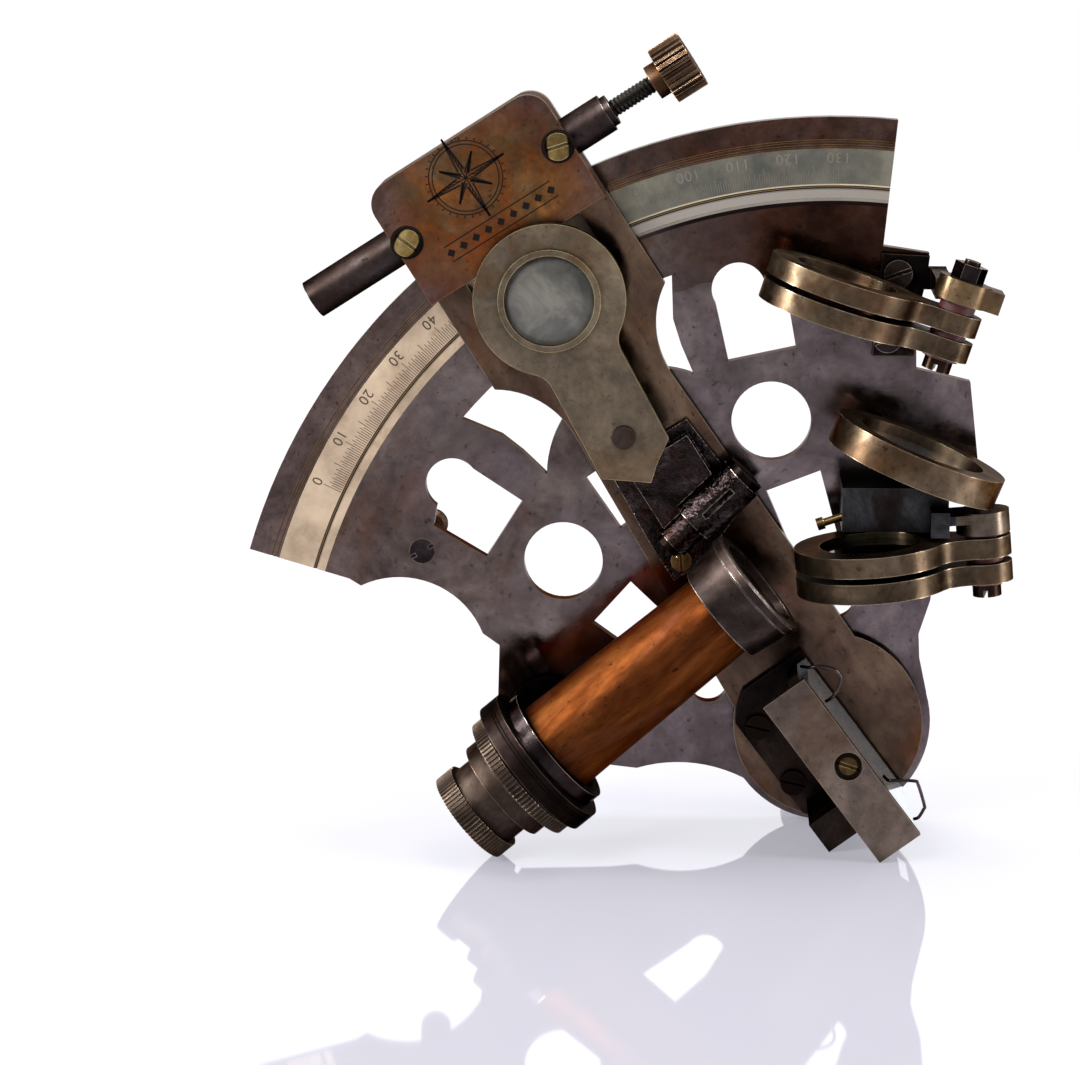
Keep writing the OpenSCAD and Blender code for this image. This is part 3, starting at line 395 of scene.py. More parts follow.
class Tree:
    """A node tree of a material or a world, with short ways to add what the finishes share."""

    def __init__(self, name, kind="materials", shader="Principled BSDF", place="Object"):
        self.owner = getattr(bpy.data, kind).new(name)
        self.owner.use_nodes = True
        tree = self.owner.node_tree
        self.nodes, self.links = tree.nodes, tree.links
        self.shader = self.nodes[shader]
        self.place = self.add("TexCoord").outputs[place]

    def add(self, kind, values=None, **settings):
        """A new node with its settings made and its sockets fed."""
        node = self.nodes.new("ShaderNode" + kind)
        for key, value in settings.items():
            setattr(node, key, value)
        for key, value in (values or {}).items():
            self.feed(node.inputs[key], value)
        return node

    def feed(self, socket, value):
        """Links an output to the socket, or sets the socket's own value."""
        if isinstance(value, bpy.types.NodeSocket):
            self.links.new(value, socket)
        else:
            socket.default_value = value

    def set(self, **values):
        """Feeds the shader's sockets, named with underscores for spaces."""
        for key, value in values.items():
            self.feed(self.shader.inputs[key.replace("_", " ")], value)

    def math(self, operation, first, second=0.0):
        """One arithmetic step."""
        return self.add("Math", {0: first, 1: second}, operation=operation).outputs[0]

    def times(self, first, second):
        """Product of two values."""
        return self.math("MULTIPLY", first, second)

    def vector(self, operation, first, second=(0, 0, 0), result="Vector"):
        """One step with vectors."""
        node = self.add("VectorMath", {0: first, 1: second}, operation=operation)
        return node.outputs[result]

    def axis(self, name, place=None):
        """One coordinate of a place."""
        return self.add("SeparateXYZ", {0: place or self.place}).outputs[name]

    def rise(self, value, low, high, top=1.0):
        """0 below the low value, then straight up to the top at the high one."""
        limits = {"Value": value, "From Min": low, "From Max": high, "To Max": top}
        return self.add("MapRange", limits).outputs[0]

    def noise(self, scale, detail=4.0, roughness=0.55, distortion=0.0, place=None):
        """Value of a noise texture at the place."""
        values = {
            "Vector": place or self.place,
            "Scale": scale,
            "Detail": detail,
            "Roughness": roughness,
            "Distortion": distortion,
        }
        return self.add("TexNoise", values).outputs[0]

    def ramp(self, value, *stops):
        """Colour ramp through (position, colour) stops; a number stands for a grey."""
        node = self.add("ValToRGB", {"Fac": value})
        points = node.color_ramp.elements
        while len(points) < len(stops):
            points.new(0.5)
        for point, (where, colour) in zip(points, stops):
            point.position = where
            point.color = (colour, colour, colour, 1) if isinstance(colour, (int, float)) else colour
        return node.outputs[0]

    def mix(self, factor, first, second, blend="MIX"):
        """Mix of two colours."""
        node = self.add("Mix", data_type="RGBA", blend_type=blend)
        for index, value in ((0, factor), (6, first), (7, second)):
            self.feed(node.inputs[index], value)
        return node.outputs[2]

    def seen_from(self, matrix, factors=(1, 1, 1)):
        """Places in another frame, divided by factors along its axes."""
        turn, origin = matrix.to_3x3().inverted(), matrix.translation
        away = self.vector("SUBTRACT", self.place, tuple(origin))
        joined = self.add("CombineXYZ")
        for axis, row in enumerate(turn):
            along = self.vector("DOT_PRODUCT", away, tuple(row / factors[axis]), "Value")
            self.feed(joined.inputs[axis], along)
        return joined.outputs[0]

    def radius(self, place):
        """Distance from the z axis of a place."""
        return self.vector("LENGTH", self.vector("MULTIPLY", place, (1, 1, 0)), result="Value")

    def band(self, value, middle, half):
        """1 where the value is within half of the middle."""
        away = self.math("ABSOLUTE", self.math("SUBTRACT", value, middle))
        return self.math("LESS_THAN", away, half)

    def edge(self, width):
        """1 on sharp edges within the width, 0 on flat faces, broken up by noise."""
        bevel = self.add("Bevel", {"Radius": width}, samples=6).outputs[0]
        normal = self.add("NewGeometry").outputs["Normal"]
        off = self.math("SUBTRACT", 1.0, self.vector("DOT_PRODUCT", bevel, normal, "Value"))
        worn = self.times(off, self.ramp(self.noise(420), (0.3, 0.25), (0.6, 1.0)))
        return self.ramp(worn, (0.03, 0.0), (0.25, 1.0))

    def dirt(self, distance):
        """1 in the open, less where other faces stand close: the mask of painted shade."""
        return self.add("AmbientOcclusion", {"Distance": distance}, samples=6).outputs["AO"]

    def bump(self, height, strength, distance):
        """Normal of a fine relief."""
        values = {"Height": height, "Strength": strength, "Distance": distance}
        return self.add("Bump", values).outputs[0]


def blotched(tree, colours, blotch, where=None):
    """Cloudy colour of three tones with stained patches, fine mottling and dark flecks.

    The colours are one string: low, middle and high tone, stain and fleck.
    """
    low, middle, high, stain, fleck = (tone(code) for code in colours.split())
    cloud = tree.noise(blotch, 9, 0.66, 0.6, where)
    colour = tree.ramp(cloud, (0.34, low), (0.5, middle), (0.66, high))
    patches = tree.ramp(tree.noise(blotch * 0.6, 4, 0.6, 1.6, where), (0.5, 0.0), (0.62, 0.8))
    colour = tree.mix(patches, colour, stain)
    mottle = tree.ramp(tree.noise(blotch * 7, 5, 0.7, 0.3, where), (0.32, 0.72), (0.68, 1.22))
    colour = tree.mix(1.0, colour, mottle, "MULTIPLY")
    specks = tree.ramp(tree.noise(900, 5, 0.7), (0.6, 0.0), (0.7, 0.8))
    return tree.mix(specks, colour, fleck)


def finish_metal(
    tree, colour, rim, rough, blotch=55.0, rim_width=0.25 * MM, dirt=0.6, grain=0.12,
    relief=1500, depth=0.06 * MM,
):
    """Feeds the shader: painted shade where faces meet, bright edges of wear and painted highlight,
    patchy polish.
    """
    rim = tone(rim) if isinstance(rim, str) else rim
    # Painted shade: the colour darkens where other faces stand close
    shade = tree.ramp(tree.dirt(CREVICE_SHADE_REACH), (0.25, 1 - dirt), (0.92, 1.0))
    colour = tree.mix(1.0, colour, shade, "MULTIPLY")
    # Bright edges: partly wear, partly painted highlight
    worn = tree.edge(rim_width)
    polish = tree.ramp(tree.noise(blotch * 2.3, 6, 0.65), (0.3, rough - 0.1), (0.7, rough + 0.14))
    tree.set(
        Base_Color=tree.mix(worn, colour, rim),
        Metallic=1.0,
        Specular_Tint=tone("#8a8078"),
        Roughness=tree.mix(worn, polish, (rough * 0.6,) * 3 + (1,)),
        Normal=tree.bump(tree.noise(relief, 4, 0.7), grain, depth),
    )
    return tree.owner


def aged_metal(name, colours, rim, rough, blotch=55.0, axes=None, factors=(1, 1, 1), **finish):
    """Bronze or brass with blotches, drawn out along an axis if given, and bright edges of wear and
    painted highlight.
    """
    tree = Tree(name)
    where = tree.seen_from(axes, factors) if axes else None
    colour = blotched(tree, colours, blotch, where)
    return finish_metal(tree, colour, rim, rough, blotch, **finish)


def frame_bronze():
    """Polished bronze: brown at the left, violet-grey at the right, dark along the limb, with a
    painted reflection, a painted shadow line and a painted highlight below the strip at the right.
    """
    tree = Tree("Frame bronze")
    across = tree.axis("X")
    right = tree.rise(across, -10 * MM, 10 * MM)
    front = tree.math("LESS_THAN", tree.axis("Y"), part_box("frame_plate")[0].y + SKIN)
    front_right = tree.times(right, front)
    cool = blotched(tree, "#4c4242 #706465 #8b7d7b #5f5653 #2a2220", 48)
    brown = blotched(tree, "#4d413c #6c5f5a #85776f #634a3e #2a201c", 60)
    change = tree.math("ADD", tree.noise(26, 4, 0.6, 0.8), tree.times(across, 5.0))
    change = tree.ramp(change, (0.38, 1.0), (0.56, 0.0))
    light = blotched(tree, "#463a37 #5f504b #75645d #54403a #241a17", 70)
    dark = blotched(tree, "#2e201b #402e29 #544039 #4a2a1e #1a1210", 70)
    reach = tree.radius(tree.seen_from(plate_matrix()))
    wavy = tree.math("ADD", reach, tree.times(tree.noise(60, 3), 6 * MM))
    rim = tree.rise(wavy, LIMB_FROM_R, LIMB_TO_R)
    colour = tree.mix(rim, tree.mix(change, cool, brown), tree.mix(right, light, dark))
    # Painted reflection: a dark reddish band below the strip, right of the arm, on the front face
    dark_reflection = blotched(tree, "#261611 #37231c #4e372e #45261a #1a0f0b", 60)
    red = tree.band(wavy, DARK_REFLECTION_R, DARK_REFLECTION_HALF)
    far = tree.rise(across, 0.0, 22 * MM)
    colour = tree.mix(tree.times(red, tree.times(far, front)), colour, dark_reflection)
    shadow = tree.band(reach, SHADOW_R, SHADOW_HALF)
    lip = tree.band(reach, LIP_HIGHLIGHT_R, LIP_HIGHLIGHT_HALF)
    colour = tree.mix(tree.times(shadow, front_right), colour, tone("#1d1614"))
    # Painted highlight: a pale band along the lip, right of the arm
    colour = tree.mix(tree.times(lip, front_right), colour, tone("#9c948c"))
    return finish_metal(tree, colour, "#947448", 0.14, rim_width=0.2 * MM)


def two_toned(name, axis, border, below, above, rim):
    """Metal of one colour below the border on an axis and another above it."""
    tree = Tree(name)
    low, high = blotched(tree, below, 70), blotched(tree, above, 70)
    beyond = tree.math("GREATER_THAN", tree.axis(axis), border)
    return finish_metal(tree, tree.mix(beyond, low, high), rim, 0.3)


def screw_brass(name, middles, bright, colours, rim):
    """Screws along the y axis: brass within the bright radius of a middle, painted shade of the recess
    outside.
    """
    tree = Tree(name)
    near = 1.0
    for middle in middles:
        away = tree.vector("SUBTRACT", tree.place, tuple(middle))
        flat = tree.vector("MULTIPLY", away, (1, 0, 1))
        near = tree.math("MINIMUM", tree.vector("LENGTH", flat, result="Value"), near)
    # Painted shade: outside the bright radius the heads go dark, as in a shaded recess
    outside = tree.rise(near, bright, bright * 1.15)
    colour = tree.mix(outside, blotched(tree, colours, 90), tone("#17110e"))
    worn = tree.mix(outside, tone(rim), tone("#2c231d"))
    return finish_metal(tree, colour, worn, 0.28)


def mirror_holder(axes):
    """Bronze cap over a nearly black block and foot, their dark tone partly painted shade; the cap is
    told by its place.
    """
    tree = Tree("Mirror holder")
    place = tree.seen_from(axes)
    cap = blotched(tree, "#50443d #6c5e55 #827266 #5e4a3c #2a201b", 48)
    # The lower part: dark metal deepened with painted shade
    foot = blotched(tree, "#120e0c #1f1916 #332a25 #2c201a #080606", 70)
    high = tree.math("GREATER_THAN", tree.axis("Z", place), CAP_FROM)
    inner = tree.math("LESS_THAN", tree.math("ABSOLUTE", tree.axis("Y", place)), CAP_HALF)
    upper = tree.times(high, inner)
    rim = tree.mix(upper, tone("#3c332c"), tone("#b8a484"))
    return finish_metal(tree, tree.mix(upper, foot, cap), rim, 0.3)


def glass(name, colour, rough=0.04, transmission=1.0):
    """Clear or tinted glass with a faint haze of dust."""
    tree = Tree(name)
    haze = tree.ramp(tree.noise(160, 5, 0.6), (0.4, rough), (0.75, rough + 0.1))
    tree.set(Base_Color=tone(colour), Roughness=haze, Transmission_Weight=transmission, IOR=1.5)
    return tree.owner


def cloudy_glass(name, tones):
    """Old lens, nearly opaque, mottled between three tones."""
    tree = Tree(name)
    cloud = tree.noise(130, 6, 0.65, 0.6)
    colour = tree.ramp(cloud, (0.36, tone(tones[0])), (0.5, tone(tones[1])), (0.64, tone(tones[2])))
    tree.set(Base_Color=colour, Roughness=0.22, Transmission_Weight=0.25, IOR=1.5)
    return tree.owner


def plain(name, colour, rough, metallic=0.0, shine=0.5):
    """One even colour, a little cloudy."""
    tree = Tree(name)
    cloud = tree.ramp(tree.noise(300), (0.3, 0.8), (0.7, 1.1))
    tree.set(
        Base_Color=tree.mix(1.0, tone(colour), cloud, "MULTIPLY"),
        Roughness=rough,
        Metallic=metallic,
        Specular_IOR_Level=shine,
    )
    return tree.owner


def silvered_scale():
    """Yellowed silvering, grey-green right of the arm, with the inner line filled black, a painted
    highlight along its inner margin and painted shade where faces stand close.
    """
    tree = Tree("Silvered scale")
    cloud = tree.noise(90, 7, 0.66)
    warm = tree.ramp(cloud, (0.35, tone("#98846e")), (0.5, tone("#b6a088")), (0.68, tone("#cdb79c")))
    cold = tree.ramp(cloud, (0.35, tone("#494a45")), (0.5, tone("#625f55")), (0.68, tone("#7e7a6a")))
    right = tree.rise(tree.axis("X"), -12 * MM, 0.0)
    stain = tree.ramp(tree.noise(260, 4, 0.6, 0.4), (0.56, 0.0), (0.7, 0.45))
    warm = tree.mix(stain, warm, tone("#8a6a4a"))
    colour = tree.mix(right, warm, cold)
    reach = tree.radius(tree.seen_from(plate_matrix()))
    margin_highlight = tree.math("LESS_THAN", reach, MARGIN_HIGHLIGHT_R)
    # Painted highlight: a pale band within the margin, right of the arm
    colour = tree.mix(tree.times(margin_highlight, right), colour, tone("#968f86"))
    cream = tree.times(tree.band(reach, CREAM_R, CREAM_HALF), right)
    colour = tree.mix(cream, colour, tone("#c4b99c"))
    colour = tree.mix(tree.band(reach, SCRIBED_R, SCRIBED_HALF), colour, tone("#2c1e14"))
    colour = tree.mix(tree.band(reach, SCRIBED_R, SCRIBED_HALF / 4), colour, tone("#8a6f48"))
    # Painted shade where other faces stand close
    shade = tree.ramp(tree.dirt(0.7 * MM), (0.3, 0.45), (0.8, 1.0))
    tree.set(
        Base_Color=tree.mix(1.0, colour, shade, "MULTIPLY"),
        Metallic=0.55,
        Roughness=0.42,
        Normal=tree.bump(tree.noise(1800, 3), 0.1, 0.05 * MM),
    )
    return tree.owner


def copper_cover(middle):
    """Bronze in red, olive and violet patches, violet-grey towards the cover's corners."""
    tree = Tree("Copper cover")
    away = tree.vector("DISTANCE", tree.place, tuple(middle), "Value")
    red = blotched(tree, "#4a2918 #734424 #946235 #7d4020 #2a1812", 75)
    olive = blotched(tree, "#3d2f1e #604930 #806447 #5c4326 #20180f", 90)
    cold = blotched(tree, "#392d2a #594642 #77635c #5a3b32 #1f1613", 80)
    change = tree.ramp(tree.noise(85, 4, 0.6, 1.2), (0.42, 0.0), (0.6, 0.9))
    warm = tree.mix(change, red, olive)
    ragged = tree.math("ADD", away, tree.times(tree.noise(95, 5), 12 * MM))
    side = tree.rise(ragged, 16 * MM, 25 * MM)
    return finish_metal(tree, tree.mix(side, warm, cold), "#b07c50", 0.3, 60, grain=0.25)


def ruled_collar(axes):
    """Dark bronze with lines turned round it."""
    tree = Tree("Ruled collar")
    colour = blotched(tree, "#120d0b #1c1513 #2b2320 #21160f #0e0a08", 60)
    along = tree.axis("X", tree.seen_from(axes))
    for line in COLLAR_LINES:
        colour = tree.mix(tree.band(along, line, COLLAR_HALF), colour, tone("#0c0807"))
    return finish_metal(tree, colour, "#75655a", 0.42)


def faded_ink():
    """Black fill of the engraving, worn away towards the scale's right end."""
    tree = Tree("Engraved black")
    worn = tree.rise(tree.axis("X"), -14 * MM, -2 * MM, 0.85)
    patchy = tree.times(worn, tree.ramp(tree.noise(140), (0.3, 0.75), (0.6, 1.0)))
    tree.set(Base_Color=tree.mix(patchy, tone("#3a291c"), tone("#68645a")), Roughness=0.6)
    return tree.owner


def heads(node):
    """Middles of a node's separate pieces, the foremost first."""
    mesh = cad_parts[node].data
    group = list(range(len(mesh.vertices)))

    def root(k):
        while group[k] != k:
            group[k] = group[group[k]]
            k = group[k]
        return k

    for edge in mesh.edges:
        a, b = edge.vertices
        group[root(a)] = root(b)
    pieces = {}
    for k, vertex in enumerate(mesh.vertices):
        pieces.setdefault(root(k), []).append(vertex.co)
    boxes = [np.array(points) for points in pieces.values()]
    boxes.sort(key=lambda points: points[:, 1].min())
    return [(points.min(axis=0) + points.max(axis=0)) / 2 for points in boxes]


# Aged metals: name, colours as for blotched(), colour of the edges (wear and painted highlight),
# roughness
AGED = {
    "arm": ("Arm bronze", "#392c25 #5a473b #77624f #663f28 #1d1513", "#b0a288", 0.15),
    "olive": ("Olive bronze", "#51463a #6f6252 #897a66 #67503a #2a201b", "#e4cd92", 0.27),
    "ring": ("Shade bronze", "#352b22 #5a4b3b #80705c #553c28 #1e1510", "#dcc8a8", 0.3),
    "eyepiece": ("Eyepiece bronze", "#1c1613 #342a25 #4f443c #3e2b20 #120c0a", "#8f7c68", 0.4),
    "cell": ("Objective bronze", "#221b1a #362d2a #4e4440 #3f2f28 #100c0a", "#d8ccc0", 0.32),
    "leg": ("Leg bronze", "#2c221c #453630 #5e4d43 #4a3020 #181210", "#a5875c", 0.32),
    "tube": ("Copper tube", "#33180a #502810 #6c3d1c #543020 #1a0b05", "#8a6646", 0.46),
    "housing": ("Housing copper", "#40322a #604f43 #7c6859 #52402f #20150f", "#94704a", 0.45),
    "black": ("Blackened metal", "#1a1514 #30282a #544a48 #2c1f18 #080606", "#c0b4a8", 0.18),
    "gun": ("Gunmetal", "#201a19 #352c2a #4d4443 #2c221e #0c0908", "#8d807a", 0.4),
    "brass": ("Screw brass", "#33281a #5c492c #8c7044 #46331d #140e09", "#d8ba7c", 0.3),
    "bracket": ("Lumpy black", "#1c1615 #342b2b #5c5250 #33221a #080606", "#cfc0b2", 0.14),
    "dark_screw": ("Dark screw", "#1c1410 #30241d #4c3d30 #241812 #0c0806", "#8c7858", 0.3),
    "rivet": ("Rivet", "#2c2320 #40342e #564940 #33261f #140f0d", "#6c5c50", 0.3),
    "knob": ("Knob bronze", "#33281f #5a4638 #826b58 #4c3321 #140e0b", "#a88c70", 0.45),
    "bush": ("Turned brass", "#43341f #6b532e #957541 #57401f #221810", "#d8ba7c", 0.3),
}


def make_finishes(settings):
    """Every material by its short name."""
    along_scope = scope_matrix(settings)
    special = {
        "arm": {"axes": arm_matrix(settings), "factors": (2.2, 1, 1)},
        # The objective cell's wider bright rim is a painted highlight
        "cell": {"rim_width": 0.4 * MM},
        # The tube takes less painted shade where faces meet
        "tube": {"blotch": 140, "axes": along_scope, "factors": (4, 1, 1), "dirt": 0.4},
        "black": {"grain": 0.35},
        "bracket": {"blotch": 130, "grain": 0.9, "relief": 330, "depth": 0.7 * MM},
    }
    made = {
        "frame": frame_bronze(),
        "collar": ruled_collar(along_scope),
        "cover": copper_cover(centre("cover_plate")),
        "lug": two_toned(
            "Bracket and lug", "Y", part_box("horizon_shade_bracket")[0].y + LUG_DEEP,
            "#46372a #6b573f #8d765a #241a16 #080606", "#0f0c0c #1c1717 #302928 #4e3a2c #1f1714",
            "#7d6a50",
        ),
        "block": two_toned(
            "Block and lug", "X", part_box("horizon_bracket")[1].x - BLOCK_END,
            "#1b1a1b #313031 #504f52 #241a16 #080606", "#352d27 #584d43 #7a6d60 #4e3a2c #1f1714",
            "#5a5048",
        ),
        "holder": mirror_holder(mirror_matrix(settings)),
        "cover_screw": screw_brass(
            "Cover screws", heads("cover_screws"), 1.5 * MM,
            "#5c4a2c #8f7747 #c2a870 #5c4a2c #140e09", "#f0dca4",
        ),
        # Only the foremost mirror screw is brass; the others are dark with painted shade
        "cap_screw": screw_brass(
            "Cap screw", heads("mirror_screws")[:1], 1.35 * MM,
            "#33281a #5c492c #8c7044 #33281a #140e09", "#d8ba7c",
        ),
        # The rearmost bracket screw is bright brass with pale edges, partly a painted highlight
        "bracket_screw": screw_brass(
            "Bracket screws", heads("magnifier_bracket_screws")[-1:], 1.9 * MM,
            "#4a3c26 #7d6840 #b09a68 #4a3c26 #140e09", "#ecd9a8",
        ),
        "steel": plain("Spring steel", "#8a8885", 0.3, 1.0),
        "thread": plain("Dark steel", "#1d1b17", 0.45, 1.0),
        "scale": silvered_scale(),
        "ink": faded_ink(),
        "groove": plain("Groove black", "#0e0806", 0.8, shine=0.1),
        "fibre": plain("Red fibre", "#4c1814", 0.5),
        "lens": glass("Lens glass", "#c6d4cc", 0.05, 0.9),
        "magnifier": cloudy_glass("Magnifier glass", ("#40403b", "#53514c", "#6a665f")),
        "red": glass("Red glass", "#6e140c"),
        "green": glass("Green glass", "#175a30"),
        "mirror": plain("Silvered glass", "#c4ccd0", 0.06, 0.85),
        "dim_mirror": plain("Horizon glass", "#34383a", 0.12, 0.6),
    }
    for key, (name, colours, rim, rough) in AGED.items():
        made[key] = aged_metal(name, colours, rim, rough, **special.get(key, {}))
    return made


# The CAD nodes that wear each finish
FINISH_OF = {
    "frame": "frame_plate",
    "collar": "scope_collar",
    "scale": "scale_strip vernier_plate",
    "bush": "pivot_bush pivot_shaft",
    "leg": "leg_left leg_right leg_apex clamp_slide",
    "black": (
        "leg_screws scope_bracket horizon_bracket_screws horizon_shade_bracket_screws "
        "horizon_shade_nut pivot_nut mirror_clips"
    ),
    "bracket": "magnifier_bracket",
    "bracket_screw": "magnifier_bracket_screws",
    "brass": "scope_bracket_screws mirror_adjuster",
    "cover_screw": "cover_screws",
    "cap_screw": "mirror_screws",
    "dark_screw": "horizon_shade_screw index_shade_screw",
    "rivet": "magnifier_rivet",
    "knob": "tangent_screw clamp_screw",
    "tube": "scope_tube",
    "olive": "magnifier_plate",
    "holder": "mirror_holder",
    "ring": "horizon_cell horizon_shade_upper horizon_shade_lower index_shade_upper index_shade_lower",
    "eyepiece": "lock_ring eyepiece_tube eyecup",
    "cell": "objective_cell",
    "gun": "spring_tube guide_tube",
    "lug": "horizon_shade_bracket",
    "block": "horizon_bracket",
    "housing": "tangent_housing",
    "cover": "cover_plate",
    "arm": "index_arm",
    "steel": "tension_spring",
    "fibre": "horizon_shade_washers index_shade_washers",
    "lens": "objective_lens eye_lens",
    "magnifier": "magnifier_lens",
    "red": "horizon_shade_upper_glass horizon_shade_lower_glass",
    "green": "index_shade_upper_glass index_shade_lower_glass",
    "mirror": "index_mirror",
    "dim_mirror": "horizon_mirror",
}


# Operators


class SEXTANT_OT_finishes(bpy.types.Operator):
    """Give every CAD node its material"""

    bl_idname = "sextant.finishes"
    bl_label = "Finishes"

    def execute(self, context):
        settings = context.scene.sextant
        made = make_finishes(settings)
        missing = set(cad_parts)
        for key, nodes in FINISH_OF.items():
            for node in nodes.split():
                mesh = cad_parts[node].data
                mesh.materials.clear()
                mesh.materials.append(made[key])
                missing.discard(node)
        if missing:
            self.report({"WARNING"}, f"no finish for {sorted(missing)}")
        return {"FINISHED"}


class SEXTANT_OT_scale(bpy.types.Operator):
    """Cut the ticks and numerals of the limb and the vernier"""

    bl_idname = "sextant.scale"
    bl_label = "Scale"

    def execute(self, context):
        settings = context.scene.sextant
        scale = settings.scale
        ink = bpy.data.materials["Engraved black"]
        plate = plate_matrix()
        rows = []
        for half in range(2 * scale.last + 1):
            turn = scale.zero - math.radians(half / 4)
            reach = scale.tick_short if half % 2 else scale.tick_degree
            if half % 10 == 0:
                reach = scale.tick_five
            x, y = math.cos(turn), math.sin(turn)
            middle = scale.tick_r + reach / 2
            rows.append((x * middle, y * middle, PROUD, x, y, reach / 2, scale.tick_w / 2))
        points, faces = bars(rows)
        ticks = new_mesh("scale_ticks", moved(points, plate), faces, ink)
        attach(ticks, "frame")
        for reading in range(0, scale.last + 1, 10):
            self.numeral(reading, scale, plate, ink)
        self.vernier(settings, ink)
        return {"FINISHED"}

    def numeral(self, reading, scale, plate, ink):
        """One numeral with its top towards the pivot."""
        turn = scale.zero - math.radians(reading / 2)
        curve = bpy.data.curves.new(f"numeral_{reading}", "FONT")
        curve.body = str(reading)
        curve.size = scale.numeral_h * 1.25
        curve.align_x = "CENTER"
        curve.align_y = "CENTER"
        curve.space_character = 1.1
        shape = bpy.data.objects.new(f"numeral_{reading}", curve)
        context = bpy.context
        context.collection.objects.link(shape)
        context.view_layer.update()
        flat = shape.evaluated_get(context.evaluated_depsgraph_get())
        mesh = bpy.data.meshes.new_from_object(flat)
        bpy.data.objects.remove(shape)
        stand = (
            plate
            @ Matrix.Rotation(turn, 4, "Z")
            @ Matrix.Translation((scale.numeral_r, 0, PROUD))
            @ Matrix.Rotation(math.pi / 2, 4, "Z")
        )
        mesh.transform(stand)
        mesh.materials.clear()
        mesh.materials.append(ink)
        obj = bpy.data.objects.new(f"scale_numeral_{reading}", mesh)
        context.collection.objects.link(obj)
        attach(obj, "frame")

    def vernier(self, settings, ink):
        """Lines along the middle of the vernier, every fourth one longer."""
        arm = arm_matrix(settings)
        top = front_height(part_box("vernier_plate")[0]) + PROUD
        inner = in_plate(centre("vernier_plate")).to_2d().length
        rows = []
        for i in range(-VERNIER_LINES, VERNIER_LINES + 1):
            turn = i * VERNIER_STEP
            reach = VERNIER_SHORT if i % 4 else VERNIER_LONG
            x, y = math.cos(turn), math.sin(turn)
            rows.append((x * inner, y * inner, top, x, y, reach / 2, VERNIER_HALF))
        points, faces = bars(rows)
        marks = new_mesh("vernier_ticks", moved(points, arm), faces, ink)
        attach(marks, "index_arm")


class SEXTANT_OT_cover(bpy.types.Operator):
    """Engrave the cover plate and paint shade in the rings round its screws"""

    bl_idname = "sextant.cover"
    bl_label = "Cover"

    def execute(self, context):
        settings = context.scene.sextant
        cover = settings.cover
        place = cover_matrix(settings)
        black = bpy.data.materials["Groove black"]
        points, faces = [], []
        middle = (-cover.star_left, cover.star_up)
        fine = cover.line * 0.6
        for i in range(8):
            reach = (SHORT_POINT if i % 2 else 1.0) * cover.star_out
            self.point(points, faces, middle, i * FULL_TURN / 8, reach, cover.line)
        for share in RING_SHARES:
            self.line(points, faces, circle(middle, share * cover.star_out, 72), fine)
        for i in range(COVER_TICKS):
            angle = i * FULL_TURN / COVER_TICKS
            ends = [polar(middle, share * cover.star_out, angle) for share in TICK_SHARES]
            self.line(points, faces, ends, fine)
        for x in np.linspace(-cover.band_half, cover.band_half, LOZENGES):
            self.lozenge(points, faces, (x, -cover.band_down), 0.55 * cover.band_wide)
        for y in (cover.band_wide, -cover.band_wide):
            ends = [(side * cover.band_half * 1.06, y - cover.band_down) for side in (-1, 1)]
            self.line(points, faces, ends, fine)
        # Painted shade: a dark ring round each cover screw, for its recess
        for low, high in self.screws(place):
            outline = circle((low + high) / 2, (high[0] - low[0]) / 2 + cover.sunk_ring / 2, 48)
            self.line(points, faces, outline, cover.sunk_ring)
        flat = np.array([(x, y, PROUD) for x, y in points])
        obj = new_mesh("cover_engraving", moved(flat, place), faces, black)
        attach(obj, "index_arm")
        return {"FINISHED"}

    def line(self, points, faces, path, width):
        """A flat line of quads along a path, half its width to each side of it."""
        path = np.asarray(path, float)
        along = np.gradient(path, axis=0)
        along /= np.linalg.norm(along, axis=1, keepdims=True)
        side = np.stack([-along[:, 1], along[:, 0]], axis=1) * width / 2
        base = len(points)
        points.extend(np.concatenate([path - side, path + side]).tolist())
        count = len(path)
        for i in range(count - 1):
            faces.append((base + i, base + i + 1, base + count + i + 1, base + count + i))

    def point(self, points, faces, middle, angle, reach, width):
        """One point of the star: its outline, and its right half filled with hatching."""
        tip = polar(middle, reach, angle)
        turns = [angle + side * FULL_TURN / 16 for side in (-1, 1)]
        corners = [polar(middle, WAIST * reach, turn) for turn in turns]
        for corner in corners:
            self.line(points, faces, [corner, tip], width)
        self.line(points, faces, [middle, tip], width * 0.6)
        base = np.array([middle, corners[0]])
        for share in np.linspace(0.15, 0.85, HATCHES):
            self.line(points, faces, base + share * (tip - base), width * 0.55)

    def lozenge(self, points, faces, middle, half):
        """A filled lozenge."""
        x, y = middle
        base = len(points)
        points.extend([(x - half, y), (x, y - half), (x + half, y), (x, y + half)])
        faces.append((base, base + 1, base + 2, base + 3))

    def screws(self, place):
        """Low and high corners of the two cover screws in the cover's own axes."""
        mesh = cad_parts["cover_screws"].data
        points = np.array([v.co for v in mesh.vertices])
        flat = moved(points, place.inverted())[:, :2]
        for side in (-1, 1):
            part = flat[flat[:, 0] * side > 0]
            yield part.min(axis=0), part.max(axis=0)


